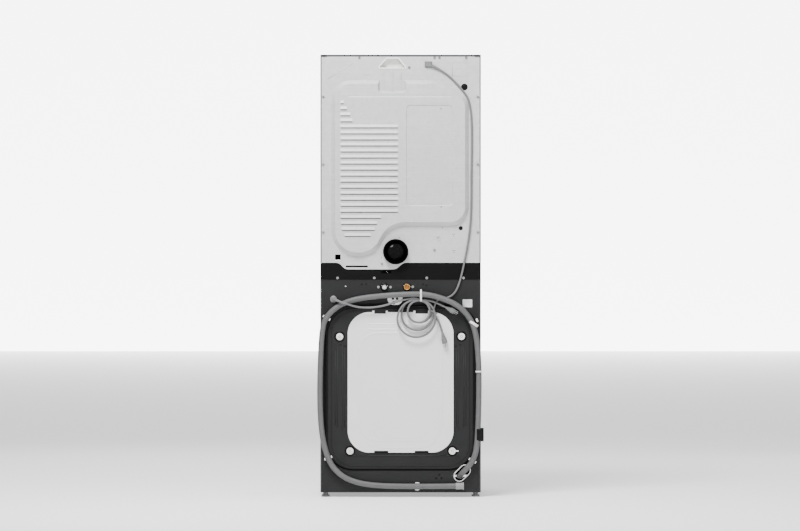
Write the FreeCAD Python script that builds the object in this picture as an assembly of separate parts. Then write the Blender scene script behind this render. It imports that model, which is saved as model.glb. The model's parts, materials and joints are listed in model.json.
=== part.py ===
import FreeCAD, Part
import math
import os

# Washer dryer stack: a one-piece laundry centre, a vented tumble dryer over a front-load washer.
# Units are millimetres. +Z is up, the doors face -Y, the wall side faces +Y, and +X is on the
# right of somebody who stands in front of the doors. The origin is on the floor, under the middle.

V = FreeCAD.Vector
X_AXIS = V(1, 0, 0)
Y_AXIS = V(0, 1, 0)
Z_AXIS = V(0, 0, 1)

# ---- driving dimensions: the whole machine ----
WIDTH = 686.0            # 27 inch cabinet
HEIGHT = 1890.0          # floor to top cover
DEPTH = 772.0            # door domes to exhaust collar
SHEET = 1.2              # cabinet sheet steel
FOOT_HEIGHT = 19.4
WASHER_TOP = 928.5       # washer cabinet / middle band
DRYER_BOTTOM = 1000.7    # middle band / dryer cabinet
HALF = WIDTH / 2
FRONT = -330.0           # outer plane of the front panels
FRONT_MOST = -DEPTH / 2
REAR_MOST = DEPTH / 2
DRYER_REAR = 362.0       # outer plane of the dryer's rear panel
WASHER_REAR = 358.0      # outer plane of the washer's rear frame
BAND_REAR = 359.0        # outer plane of the middle band
SIDE_LIP = 5.0           # side sheets folded round the rear edge

# ---- driving dimensions: the washer ----
WASHER_AXIS_Z = 489.0
TUB_RADIUS = 268.0
TUB_WALL = 6.0
TUB_FRONT = -262.0
TUB_REAR = 172.0
DRUM_RADIUS = 245.0
DRUM_WALL = 1.0
DRUM_FRONT = -238.0
DRUM_REAR = 140.0
DRUM_MOUTH = 165.0
SHAFT_RADIUS = 15.0
ROTOR_RADIUS = 138.0
SHAFT_GAP = 0.05         # radial running clearance of every shaft

# ---- driving dimensions: the dryer ----
DRYER_AXIS_Z = 1450.0
DRYER_DRUM_RADIUS = 285.0
DRYER_DRUM_FRONT = -262.0
DRYER_DRUM_REAR = 262.0
ROLLER_RADIUS = 32.0
ROLLER_ANGLE = 36.0      # from straight down, each side
ROLLER_Y = 190.0
PULLEY_RADIUS = 12.0
MOTOR_X = 40.0
MOTOR_Z = 1076.0
BELT_Y = -20.0
BELT_THICK = 2.4
BLOWER_Y = 190.0
BLOWER_RADIUS = 62.0

# ---- driving dimensions: the doors ----
DOOR_RADIUS = 222.0
DOOR_GAP = 1.0           # door frame to front panel
DOOR_OPENING = 166.0     # hole in each front panel
HINGE_X = -229.0
HINGE_Y = -346.0
GLASS_RADIUS = 152.0

# ---- driving dimensions: pressed form of the dryer's rear panel ----
BULGE_HEIGHT = 18.0
BULGE_SLOPE = 17.0
LOUVRE_PITCH = 25.76
LOUVRE_HEIGHT = 3.4
LOUVRE_DROP = 14.0
LOUVRE_LEFT = 257.0
LOUVRE_RIGHT = 11.0
LOUVRE_TOP_Z = 1577.9
LOUVRE_COUNT = 15
EXHAUST_X = 21.0
EXHAUST_Z = 1048.0
EXHAUST_RADIUS = 51.0    # 4 inch duct spigot

# ---- driving dimensions: hose and leads ----
HOSE_DIAMETER = 25.0
LEAD_DIAMETER = 8.6
REAR_TUCK = 12.8         # hose centre line behind the washer's rear frame

os.makedirs("parts", exist_ok=True)


# ---------------------------------------------------------------- helpers

def box(x0, x1, y0, y1, z0, z1):
    """A box between two corners, given in any order."""
    low = V(min(x0, x1), min(y0, y1), min(z0, z1))
    return Part.makeBox(abs(x1 - x0), abs(y1 - y0), abs(z1 - z0), low)


def rod(x, y, z, radius, length, axis=Y_AXIS):
    """A cylinder that starts at the point and runs along the axis."""
    return Part.makeCylinder(radius, length, V(x, y, z), axis)


def pipe(x, y, z, outer, inner, length, axis=Y_AXIS):
    """A round tube that starts at the point and runs along the axis."""
    return rod(x, y, z, outer, length, axis).cut(rod(x, y, z, inner, length, axis))


def spun(profile, x=0.0, z=0.0):
    """A closed (radius, y) profile turned about the line along Y through (x, z)."""
    points = [V(x + radius, y, z) for radius, y in profile]
    face = Part.Face(Part.makePolygon(points + points[:1]))
    return face.revolve(V(x, 0, z), Y_AXIS, 360)


def fused(shapes):
    """One solid from shapes that overlap."""
    shapes = list(shapes)
    whole = shapes[0].fuse(shapes[1:]) if len(shapes) > 1 else shapes[0]
    return whole.removeSplitter()


def group(shapes):
    """Separate solids kept together in one sub-part."""
    return Part.makeCompound(list(shapes))


def mirrored(shape):
    """The same shape on the other side of the machine's middle plane."""
    return shape.mirror(V(0, 0, 0), X_AXIS)


def rectangle(x0, x1, z0, z1, radius=0.0):
    """Corners (x, z, radius) of an upright rectangle."""
    return [(x0, z0, radius), (x1, z0, radius), (x1, z1, radius), (x0, z1, radius)]


def turn_sign(outline):
    """1 where the outline runs counter-clockwise in (x, z), else -1."""
    area = 0.0
    for (x0, z0, _), (x1, z1, _) in zip(outline, outline[1:] + outline[:1]):
        area += x0 * z1 - x1 * z0
    return 1 if area > 0 else -1


def inset(outline, distance):
    """The outline moved inwards by a distance, each corner radius changed to suit."""
    sign = turn_sign(outline)
    count = len(outline)
    moved = []
    for i, (x, z, radius) in enumerate(outline):
        before = outline[i - 1]
        after = outline[(i + 1) % count]
        ax, az = x - before[0], z - before[1]
        bx, bz = after[0] - x, after[1] - z
        a_len = math.hypot(ax, az)
        b_len = math.hypot(bx, bz)
        ax, az, bx, bz = ax / a_len, az / a_len, bx / b_len, bz / b_len
        cross = ax * bz - az * bx
        normal_ax, normal_az = -az * sign, ax * sign
        normal_bx, normal_bz = -bz * sign, bx * sign
        scale = distance / (1 + normal_ax * normal_bx + normal_az * normal_bz)
        new_radius = 0.0
        if radius > 0:
            change = -distance if cross * sign > 0 else distance
            new_radius = max(radius + change, 0.6)
        moved.append((x + (normal_ax + normal_bx) * scale, z + (normal_az + normal_bz) * scale, new_radius))
    return moved


def outline_wire(outline, y):
    """A closed wire in the plane at y: straight sides joined by tangent arcs at the corners."""
    count = len(outline)
    edges = []
    starts = []
    ends = []
    middles = []
    for i, (x, z, radius) in enumerate(outline):
        corner = V(x, y, z)
        to_before = V(outline[i - 1][0], y, outline[i - 1][1]) - corner
        to_after = V(outline[(i + 1) % count][0], y, outline[(i + 1) % count][1]) - corner
        to_before.normalize()
        to_after.normalize()
        if radius <= 0:
            starts.append(corner)
            ends.append(corner)
            middles.append(None)
            continue
        half_angle = to_before.getAngle(to_after) / 2
        reach = radius / math.tan(half_angle)
        middle_way = to_before + to_after
        middle_way.normalize()
        starts.append(corner + to_before * reach)
        ends.append(corner + to_after * reach)
        middles.append(corner + middle_way * (radius / math.sin(half_angle) - radius))
    for i in range(count):
        if middles[i] is not None:
            edges.append(Part.Arc(starts[i], middles[i], ends[i]).toShape())
        following = starts[(i + 1) % count]
        if ends[i].distanceToPoint(following) > 1e-4:
            edges.append(Part.LineSegment(ends[i], following).toShape())
    return Part.Wire(edges)


def plate(outline, y0, y1):
    """A flat plate of the outline between two planes."""
    return Part.Face(outline_wire(outline, y0)).extrude(V(0, y1 - y0, 0))


def tapered(outline, y0, y1, slope):
    """A raised or sunk form: the outline at y0, inset by the slope at y1."""
    wires = [outline_wire(outline, y0), outline_wire(inset(outline, slope), y1)]
    return Part.makeLoft(wires, True, True)


def ridge_line(x0, z0, x1, z1, width, y0, height):
    """A straight pressed ridge with a triangular section, lying on the plane at y0."""
    along = V(x1 - x0, 0, z1 - z0)
    across = V(-along.z, 0, along.x)
    across.normalize()
    foot = V(x0, y0, z0)
    points = [foot + across * (width / 2), foot - across * (width / 2), foot + V(0, height, 0)]
    return Part.Face(Part.makePolygon(points + points[:1])).extrude(along)


def screw(x, y, z, head=5.6, grip=10.0):
    """A hex washer-head screw driven along -Y into the rear."""
    flange = rod(x, y, z, head, 1.2)
    hexagon = [(x + 0.72 * head * math.cos(math.radians(60 * i)),
                z + 0.72 * head * math.sin(math.radians(60 * i)), 0.0) for i in range(6)]
    shank = rod(x, y - grip, z, 1.9, grip)
    return fused([flange, plate(hexagon, y + 1.0, y + 3.8), shank])


def save(name, shape):
    """Write one sub-part."""
    shape.exportStep("parts/" + name + ".step")


# ---------------------------------------------------------------- cabinet

def side_panels(z0, z1, rear):
    """Both side sheets of one cabinet, each folded round the front and rear edges."""
    left = fused([
        box(-HALF, -HALF + SHEET, FRONT + 2, rear, z0, z1),
        box(-HALF, -HALF + SIDE_LIP, rear - SHEET, rear, z0, z1),
        box(-HALF, -HALF + 16, FRONT + 2, FRONT + 2 + SHEET, z0, z1),
    ])
    return [left, mirrored(left)]


def base_frame():
    """Welded base: two channels, two cross members and a leg plate in each corner."""
    low, high = FOOT_HEIGHT, FOOT_HEIGHT + 34
    inner = HALF - SHEET - 0.5
    ring = box(-inner, inner, FRONT + 12, 340, low, high)
    hollow = box(-inner + 34, inner - 34, FRONT + 46, 306, low - 1, high + 1)
    return ring.cut(hollow)


def levelling_feet():
    """Four screw feet: a pad, a lock nut and a threaded stem each."""
    feet = []
    for x, y, radius in ((-321, 322, 17.5), (321, 322, 17.5), (-256, -300, 14), (256, -300, 14)):
        pad = rod(x, y, 0, radius, 9, Z_AXIS)
        neck = rod(x, y, 8.5, radius * 0.62, FOOT_HEIGHT - 8.5 - 0.2, Z_AXIS)
        feet.append(fused([pad, neck]))
    return group(feet)


def top_cover():
    """Shallow lid with a down-turned rim that drops over the side sheets."""
    lid = box(-HALF, HALF, FRONT + 2, DRYER_REAR, HEIGHT - 8, HEIGHT)
    inside = box(-HALF + SHEET, HALF - SHEET, FRONT + 2 + SHEET, DRYER_REAR - SHEET, HEIGHT - 9,
                 HEIGHT - SHEET)
    return lid.cut(inside)


def middle_band():
    """Rear sheet between the two cabinets, bent forward at both ends."""
    z0, z1 = WASHER_TOP, DRYER_BOTTOM
    edge = HALF
    sheet = box(-edge, edge, BAND_REAR - SHEET, BAND_REAR, z0 + 0.2, z1 - 0.2)
    ends = [box(side * edge, side * (edge - SHEET), FRONT + 40, BAND_REAR, z0 + 0.2, z1 - 0.2)
            for side in (-1, 1)]
    slot = plate(rectangle(38, 84, 956, 965, 4.4), BAND_REAR - 3, BAND_REAR + 3)
    collar_room = rod(EXHAUST_X, BAND_REAR - 4, EXHAUST_Z, EXHAUST_RADIUS + 4.2, 8)
    floor = box(-edge + 0.2, edge - 0.2, FRONT + 40, BAND_REAR - 0.2, z0 + 30, z0 + 30 + SHEET)
    return fused([sheet, floor] + ends).cut([slot, collar_room])


# ---------------------------------------------------------------- dryer's rear panel

BULGE = [(296, 1781, 83), (-138, 1781, 40), (-292, 1703, 60), (-292, 1158, 80),
         (44, 1158, 100), (107, 1027.6, 115), (296, 1027.6, 111)]
DRYER_SKIN = [(337.6, 1881.6, 3), (-337.6, 1881.6, 3), (-337.6, DRYER_BOTTOM, 0), (-12, DRYER_BOTTOM, 36),
              (20, 972.5, 36), (238, 972.5, 34), (262, DRYER_BOTTOM, 34), (337.6, DRYER_BOTTOM, 0)]
CHANNEL = rectangle(-27, 100, 1722, 1850, 22)
RECESS = rectangle(-224, -23, 1243, 1675, 20)
GRIP = [(95.5, 1833, 3), (60, 1874.6, 6), (9, 1874.6, 6), (-24, 1833, 3)]
PLATEAU = DRYER_REAR + BULGE_HEIGHT


def louvre(x0, x1, z):
    """The hood of one louvre and the cut behind it, open along its lower edge at z."""
    def wedge(y_foot, y_lip, z_top, z_low, ends):
        points = [V(x0 + ends, y_foot, z_top), V(x0 + ends, y_lip, z + 3), V(x0 + ends, y_lip, z_low),
                  V(x0 + ends, y_foot, z_low)]
        return Part.Face(Part.makePolygon(points + points[:1])).extrude(V(x1 - x0 - 2 * ends, 0, 0))
    hood = wedge(PLATEAU - 0.4, PLATEAU + LOUVRE_HEIGHT, z + LOUVRE_DROP, z, 0)
    hollow = wedge(PLATEAU - 3, PLATEAU + LOUVRE_HEIGHT - 1, z + LOUVRE_DROP - 3.5, z - 3.2, 1.0)
    return hood, hollow


def louvre_rows():
    """(left end, right end, lower edge) of every louvre, from the top down."""
    rows = []
    for i, length in enumerate((15, 28, 42, 51)):
        rows.append((LOUVRE_LEFT - length, LOUVRE_LEFT, LOUVRE_TOP_Z + (4 - i) * LOUVRE_PITCH))
    for i in range(LOUVRE_COUNT):
        rows.append((LOUVRE_RIGHT, LOUVRE_LEFT, LOUVRE_TOP_Z - i * LOUVRE_PITCH))
    for i, (right, left) in enumerate(((83, 257), (100, 255), (110, 252), (127, 240))):
        rows.append((right, left, LOUVRE_TOP_Z - (LOUVRE_COUNT + i) * LOUVRE_PITCH))
    return rows


def dryer_rear_panel():
    """Pressed sheet: a deep bulge with louvres, a shallow recess, a channel under the grip."""
    skin = plate(DRYER_SKIN, DRYER_REAR - SHEET, DRYER_REAR)
    bulge = tapered(BULGE, DRYER_REAR - 0.6, PLATEAU, BULGE_SLOPE)
    bulge_inside = tapered(inset(BULGE, 1.0), DRYER_REAR - SHEET - 0.5, PLATEAU - SHEET, BULGE_SLOPE)
    panel = skin.fuse(bulge).cut(bulge_inside)

    channel_floor = DRYER_REAR + 1.0
    channel_back = plate(CHANNEL, channel_floor - SHEET, PLATEAU).common(bulge)
    channel_front = tapered(inset(CHANNEL, 11), channel_floor, PLATEAU + 0.5, -9)
    recess_back = plate(inset(RECESS, -2), PLATEAU - 3 - SHEET, PLATEAU - 0.5)
    recess_front = tapered(inset(RECESS, 4), PLATEAU - 3, PLATEAU + 0.5, -4)
    panel = panel.fuse([channel_back, recess_back]).cut(fused([channel_front]).fuse(recess_front))

    hoods = []
    cuts = []
    for x0, x1, z in louvre_rows():
        hood, hollow = louvre(x0, x1, z)
        hoods.append(hood)
        cuts.append(hollow)
    panel = panel.fuse(hoods).cut(cuts)

    ribs = [box(x - 1.4, x + 1.4, DRYER_REAR - 0.5, DRYER_REAR + 4, low, 1814)
            for x, low in ((73.5, 1746), (34.6, 1730), (0.0, 1746))]
    step = ridge_line(222, 1707, -215, 1707, 7, PLATEAU - 0.3, 1.6)
    holes = [plate(inset(GRIP, -0.4), DRYER_REAR - 3, DRYER_REAR + 3),
             rod(EXHAUST_X, DRYER_REAR - 5, EXHAUST_Z, EXHAUST_RADIUS + 3.4, 10),
             plate(rectangle(139, 235, 981, 989, 3.5), DRYER_REAR - 3, DRYER_REAR + 3),
             box(256, 280, DRYER_REAR - 3, DRYER_REAR + 3, 1010, 1036),
             rod(-256.7, PLATEAU - 25, 1148.5, 9, 30),
             rod(-172, PLATEAU - 9, 1659, 3, 12),
             rod(-173.5, PLATEAU - 9, 1239.5, 3, 12),
             box(-133, -104, DRYER_REAR - 3, DRYER_REAR + 3, 1836.5, 1859)]
    panel = panel.fuse(ribs + [step]).cut(holes)
    return panel


def grip_insert():
    """Moulded tray in the trapezoid opening: a hand hold for moving the machine."""
    shell = plate(GRIP, DRYER_REAR - 26, DRYER_REAR + 0.8)
    hollow = plate(inset(GRIP, 2.0), DRYER_REAR - 24, DRYER_REAR + 2)
    flange = plate(inset(GRIP, -3.0), DRYER_REAR + 0.1, DRYER_REAR + 1.4)
    flange = flange.cut(plate(inset(GRIP, 1.5), DRYER_REAR - 1, DRYER_REAR + 3))
    return fused([shell.cut(hollow), flange])


# ---------------------------------------------------------------- washer's rear

FIELD = rectangle(-330, 330, 112, 829, 127)
RING = rectangle(-310, 310, 119.8, 803.4, 107)
COVER = rectangle(-226, 226, 189.4, 789.7, 93)
CAPS = ((260.6, 684.6), (-260.2, 685.5), (216.2, 195.7), (-220.9, 195.9))
INLETS = ((69.4, 897.0), (-26.9, 897.5))
RING_FACE = WASHER_REAR - 8.0
COVER_FACE = WASHER_REAR - 5.0


HOSE_EXIT = ((-251.0, 89.5), (-275.0, 113.8))
HOSE_EXIT_RADIUS = 22.0


def hose_exit_shape(radius, y0, y1):
    """An obround between the two centres of the hose's exit."""
    (x0, z0), (x1, z1) = HOSE_EXIT
    gap = math.hypot(x1 - x0, z1 - z0)
    across = V((z1 - z0) / gap * radius, 0, -(x1 - x0) / gap * radius)
    corners = [V(x0, y0, z0) + across, V(x0, y0, z0) - across, V(x1, y0, z1) - across, V(x1, y0, z1)
               + across]
    middle = Part.Face(Part.makePolygon(corners + corners[:1])).extrude(V(0, y1 - y0, 0))
    return fused([middle, rod(x0, y0, z0, radius, y1 - y0), rod(x1, y0, z1, radius, y1 - y0)])


def washer_rear_frame():
    """Rear sheet of the washer with a large rounded opening, folded inwards all round."""
    edge = HALF - SIDE_LIP - 0.3
    outline = rectangle(-edge, edge, FOOT_HEIGHT, WASHER_TOP - 0.2)
    sheet = plate(outline, WASHER_REAR - SHEET, WASHER_REAR)
    sheet = sheet.cut(plate(FIELD, WASHER_REAR - 3, WASHER_REAR + 1))
    wall = plate(inset(FIELD, -SHEET), WASHER_REAR - 16, WASHER_REAR - 0.5).cut(
        plate(FIELD, WASHER_REAR - 17, WASHER_REAR + 1))
    ledge = plate(inset(FIELD, -SHEET), WASHER_REAR - 16, WASHER_REAR - 16 + SHEET).cut(
        plate(inset(FIELD, 46), WASHER_REAR - 17, WASHER_REAR))
    holes = [rod(x, WASHER_REAR - 4, z, 15.5, 8) for x, z in INLETS]
    holes.append(hose_exit_shape(HOSE_EXIT_RADIUS, WASHER_REAR - 4, WASHER_REAR + 4))
    holes.append(rod(287, WASHER_REAR - 4, 845, 12.5, 8))
    holes += [rod(x, WASHER_REAR - 4, z, 2.2, 8) for x, z in ((-152.5, 80.5), (-174.7, 80.5), (-165.3, 94))]
    return fused([sheet, wall, ledge]).cut(holes)


def rear_cover_ring():
    """Dished ring that closes the opening round the white cover."""
    ring = plate(RING, RING_FACE - SHEET, RING_FACE)
    ring = ring.cut(plate(inset(COVER, 12), RING_FACE - 4, RING_FACE + 2))
    rim = plate(RING, RING_FACE - 6.6, RING_FACE - 0.4).cut(plate(inset(RING, SHEET), RING_FACE - 8,
                                                                  RING_FACE + 1))
    crease = tapered(rectangle(-236, 236, 172, 178, 2.5), RING_FACE - 0.4, RING_FACE + 1.4, 2.2)
    holes = [rod(x, RING_FACE - 5, z, 23, 10) for x, z in CAPS]
    return fused([ring, rim, crease]).cut(holes)


def rear_cover_plate():
    """White access cover: hooks along the top edge, pressed lines, tabs along the bottom edge."""
    plain = plate(COVER, COVER_FACE - 2.2, COVER_FACE)
    hooks = [box(x - 4, x + 4, COVER_FACE - 1, COVER_FACE + 2.6, 776, 796) for x in (116.6, 59, -59, -121)]
    notches = [box(x0, x1, COVER_FACE - 4, COVER_FACE + 4, 783, 800) for x0, x1 in ((59, 116.6),
                                                                                    (-121, -59))]
    arc = tapered(rectangle(-181, 181, 234, 704, 80), COVER_FACE - 0.2, COVER_FACE + 1.2, 3)
    arc = arc.cut(plate(rectangle(-174, 174, 241, 697, 74), COVER_FACE - 3, COVER_FACE + 3))
    bands = [tapered(rectangle(-40, 139, z - 4, z + 4, 3), COVER_FACE - 0.2, COVER_FACE + 1.2, 3)
             for z in (716, 738)]
    return fused([plain.cut(notches), arc] + hooks + bands)


def transport_caps():
    """Four caps in the holes of the shipping bolts."""
    caps = []
    for x, z in CAPS:
        caps.append(spun([(0, RING_FACE - 9), (22.4, RING_FACE - 9), (22.4, RING_FACE - 7),
                          (16, RING_FACE - 6),
                          (14.5, RING_FACE + 1), (9, RING_FACE + 2.2), (0, RING_FACE + 2.6)], x, z))
    return group(caps)


def inlet_valves():
    """Cold and hot inlet: a threaded spigot on a flange, the valve body behind it."""
    valves = []
    for x, z in INLETS:
        body = box(x - 19, x + 19, WASHER_REAR - 62, WASHER_REAR - 4, z - 14, z + 14)
        spigot = pipe(x, WASHER_REAR - 20, z, 13.2, 8.5, 20 + 15)
        flange = pipe(x, WASHER_REAR + 0.1, z, 18, 12, 1.6)
        valves.append(fused([body, spigot, flange]))
    return group(valves)


def rear_screws():
    """Every screw that holds the rear sheets."""
    places = [(-37, DRYER_REAR, 1835), (79.5, DRYER_REAR, 996)]
    places += [(x, DRYER_REAR, 1877) for x in (176, -145, -166, -280)]
    places += [(x, DRYER_REAR, z) for x in (330, -330) for z in (1709, 1420, 1130.5)]
    places += [(-144.4, DRYER_REAR, 1054.5)]
    places += [(x, BAND_REAR, 935.8) for x in (269.6, 112.4, -111.9, -268.7)]
    places += [(x, WASHER_REAR, z) for x, z in ((94.8, 897), (43, 897), (-51.7, 897.5), (29.5, 829))]
    return group(screw(x, y + 0.1, z) for x, y, z in places)


# runs of the hose's route, counted from its exit, that a pair of prongs holds
CLIP_RUNS = (3, 22, 30)
SADDLE_AT = (-71.0, 46.0)


def hose_clips():
    """Prong clips, a saddle under the bottom run and the half-round bracket."""
    parts = []
    for run in CLIP_RUNS:
        start = V(*HOSE_ROUTE[run])
        end = V(*HOSE_ROUTE[run + 1])
        middle = (start + end) * 0.5
        angle = math.degrees(math.atan2(end.z - start.z, end.x - start.x))
        for side in (-1, 1):
            prong = box(-5, 5, WASHER_REAR + 0.1, WASHER_REAR + 19, side * 13.6, side * 16.8)
            prong.rotate(V(0, 0, 0), Y_AXIS, -angle)
            prong.translate(V(middle.x, 0, middle.z))
            parts.append(prong)
    x, z = SADDLE_AT
    saddle = rod(x, WASHER_REAR + 0.1, z, 17, 19, V(0, 1, 0))
    saddle = saddle.common(box(x - 12.5, x + 12.5, 350, 400, z - 20, z + 20))
    parts.append(saddle.cut(box(x - 20, x + 20, 340, 400, z - 13.6, z + 13.6)))
    bracket = plate([(55.5, 821, 24), (55.5, 859, 4), (-8, 859, 4), (-8, 821, 24)], WASHER_REAR + 0.1,
                    WASHER_REAR + 2.4)
    bracket = bracket.cut(group(rod(x, WASHER_REAR - 1, 847.7, 5.7, 6) for x in (33.3, 15.4)))
    return group(parts + [bracket.cut(rod(29.5, WASHER_REAR - 1, 829, 7.2, 6))])


def cord_glands():
    """Where the two leads leave: a block in the dryer's panel, a round grommet in the washer's."""
    block = fused([box(-131, -106, DRYER_REAR - 8, DRYER_REAR + 9, 1838.5, 1857),
                   box(-134.5, -102.5, DRYER_REAR + 0.2, DRYER_REAR + 2.6, 1835, 1860.5)])
    grommet = spun([(0, WASHER_REAR - 5), (12.2, WASHER_REAR - 5), (12.2, WASHER_REAR + 0.2),
                    (15, WASHER_REAR + 0.2),
                    (14, WASHER_REAR + 4), (9, WASHER_REAR + 7), (0, WASHER_REAR + 7)], 287, 845)
    return group([block, grommet])


# ---------------------------------------------------------------- front panels, doors and controls

CONTROL_LOW, CONTROL_HIGH = 900.0, 1012.0
CONTROL_FACE = FRONT - 14
CONTROL_MID = (CONTROL_LOW + CONTROL_HIGH) / 2
DIALS = {"washer_dial": -120.0, "dryer_dial": 120.0}
BUTTONS = {"washer_start_button": -200.0, "power_button": -268.0, "dryer_start_button": 200.0}
DIAL_RADIUS = 30.0
BUTTON_RADIUS = 11.0
BUTTON_TRAVEL = 2.5
DRAWER = (-322.0, -128.0, 795.0, 885.0)
FLAP = (150.0, 300.0, 90.0, 200.0)


def front_panel(z0, z1, axis_z, openings):
    """Front sheet with a flanged round opening and the openings given."""
    sheet = plate(rectangle(-HALF + 1.4, HALF - 1.4, z0, z1, 4), FRONT, FRONT + SHEET)
    folds = [box(side * (HALF - 1.4), side * (HALF - 2.6), FRONT + 0.6, FRONT + 1.8, z0 + 6, z1 - 6)
             for side in (-1, 1)]
    flange = pipe(0, FRONT, axis_z, DOOR_OPENING + SHEET, DOOR_OPENING, 14)
    cuts = [rod(0, FRONT - 1, axis_z, DOOR_OPENING, 20)] + openings
    return fused([sheet, flange] + folds).cut(cuts)


def washer_front_panel():
    """Front of the washer, with the openings for the drawer and the pump flap."""
    drawer_hole = box(DRAWER[0], DRAWER[1], FRONT - 2, FRONT + 4, DRAWER[2], DRAWER[3])
    flap_hole = box(FLAP[0], FLAP[1], FRONT - 2, FRONT + 4, FLAP[2], FLAP[3])
    return front_panel(62, CONTROL_LOW - 1, WASHER_AXIS_Z, [drawer_hole, flap_hole])


def dryer_front_panel():
    """Front of the dryer with the lint filter's pocket behind the sill of its opening."""
    panel = front_panel(CONTROL_HIGH + 1, HEIGHT - 9, DRYER_AXIS_Z, [])
    sill = DRYER_AXIS_Z - 174
    pocket = box(-114, 114, FRONT + 0.6, FRONT + 54, sill - 71, sill)
    hollow = box(-111, 111, FRONT + 32, FRONT + 44, sill - 66, sill + 1)
    return fused([panel, pocket.cut(hollow)])


def door_frame(axis_z):
    """Domed door ring with the hinge knuckle on one side and a finger scoop on the other."""
    back = FRONT - DOOR_GAP
    ring = spun([(GLASS_RADIUS, back), (DOOR_RADIUS, back), (DOOR_RADIUS, back - 12),
                 (DOOR_RADIUS - 6, back - 24), (DOOR_RADIUS - 22, back - 38),
                 (DOOR_RADIUS - 40, FRONT_MOST + 3), (DOOR_RADIUS - 52, FRONT_MOST),
                 (GLASS_RADIUS + 8, FRONT_MOST + 4), (GLASS_RADIUS, back - 30)], 0, axis_z)
    scoop = box(DOOR_RADIUS - 24, DOOR_RADIUS + 4, back - 13, back + 1, axis_z - 45, axis_z + 45)
    arm = box(HINGE_X, -DOOR_RADIUS + 14, HINGE_Y - 4, HINGE_Y + 4, axis_z - 28, axis_z + 28)
    knuckle = rod(HINGE_X, HINGE_Y, axis_z - 28, 7, 56, Z_AXIS)
    bore = rod(HINGE_X, HINGE_Y, axis_z - 30, 4 + SHAFT_GAP, 60, Z_AXIS)
    relief = box(HINGE_X - 8, -DOOR_RADIUS + 10, back - 30, back + 1, axis_z - 42, axis_z + 42)
    return fused([ring.cut(scoop).cut(relief), arm, knuckle]).cut(bore)


def door_glass(axis_z, depth):
    """Bowl of glass that stands into the drum's mouth."""
    back = FRONT - DOOR_GAP
    deep = back + depth
    shoulder = back + depth * 0.93
    waist = back + depth * 0.6
    outside = [(GLASS_RADIUS - 0.05, back - 18), (GLASS_RADIUS - 8, back - 2), (GLASS_RADIUS - 22, waist),
               (GLASS_RADIUS - 44, shoulder), (GLASS_RADIUS - 66, deep), (0, deep)]
    inside = [(0, deep - 5), (GLASS_RADIUS - 68, deep - 5), (GLASS_RADIUS - 48, shoulder - 5),
              (GLASS_RADIUS - 27, waist - 2), (GLASS_RADIUS - 14, back - 6), (GLASS_RADIUS - 5, back - 24),
              (GLASS_RADIUS - 0.05, back - 24)]
    return spun(outside + inside, 0, axis_z)


def door_hinges():
    """The fixed half of both hinges: a leaf on the front panel, two lugs and the pin."""
    hinges = []
    for axis_z in (WASHER_AXIS_Z, DRYER_AXIS_Z):
        leaf = box(HINGE_X - 22, HINGE_X + 2, FRONT - 2.6, FRONT - 0.1, axis_z - 40, axis_z + 40)
        pin = rod(HINGE_X, HINGE_Y, axis_z - 38, 4, 76, Z_AXIS)
        lugs = []
        for low in (axis_z - 38, axis_z + 28.6):
            lug = box(HINGE_X - 7, HINGE_X + 7, HINGE_Y, FRONT - 0.5, low, low + 9.4)
            lugs += [lug, rod(HINGE_X, HINGE_Y, low, 7, 9.4, Z_AXIS)]
        hinges.append(fused([leaf, pin] + lugs))
    return group(hinges)


def control_panel():
    """Hollow fascia between the two fronts, bored for the dials, the buttons and the display."""
    z0, z1 = CONTROL_LOW, CONTROL_HIGH
    shell = box(-HALF + 0.2, HALF - 0.2, CONTROL_FACE, FRONT + 24, z0, z1)
    hollow = box(-HALF + 3, HALF - 3, CONTROL_FACE + 3, FRONT + 25, z0 + 3, z1 - 3)
    bores = [rod(x, CONTROL_FACE - 1, CONTROL_MID, 6 + SHAFT_GAP, 6) for x in DIALS.values()]
    bores += [rod(x, CONTROL_FACE - 1, CONTROL_MID, BUTTON_RADIUS + 0.35, 6) for x in BUTTONS.values()]
    window = box(-60, 60, CONTROL_FACE - 1, CONTROL_FACE + 4, CONTROL_MID - 20, CONTROL_MID + 20)
    notches = [box(x0, x1, FRONT + 1.6, FRONT + 25, low, high)
               for x0, x1 in ((-HALF - 1, -HALF + 16.5), (HALF - 16.5, HALF + 1))
               for low, high in ((z0 - 1, WASHER_TOP + 0.4), (DRYER_BOTTOM - 0.4, z1 + 1))]
    return shell.cut(hollow).cut(bores + [window] + notches)


def display_window():
    """Smoked window over the timer digits."""
    return box(-59.8, 59.8, CONTROL_FACE - 0.2, CONTROL_FACE + 2.4, CONTROL_MID - 19.8, CONTROL_MID + 19.8)


def dial(x):
    """Programme dial: fluted skirt, grip bar and shaft."""
    skirt = spun([(0, CONTROL_FACE - 1), (DIAL_RADIUS, CONTROL_FACE - 1),
                  (DIAL_RADIUS - 2, CONTROL_FACE - 14),
                  (DIAL_RADIUS - 5, CONTROL_FACE - 17), (0, CONTROL_FACE - 17)], x, CONTROL_MID)
    angles = [math.radians(a) for a in range(0, 360, 15)]
    flutes = [rod(x + (DIAL_RADIUS + 1.4) * math.cos(a), CONTROL_FACE - 20,
                  CONTROL_MID + (DIAL_RADIUS + 1.4) * math.sin(a), 2.6, 24) for a in angles]
    bar = box(x - 4, x + 4, CONTROL_FACE - 24, CONTROL_FACE - 16, CONTROL_MID - 22, CONTROL_MID + 22)
    shaft = rod(x, CONTROL_FACE - 2, CONTROL_MID, 6, 24)
    return fused([skirt.cut(flutes), bar, shaft])


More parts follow.
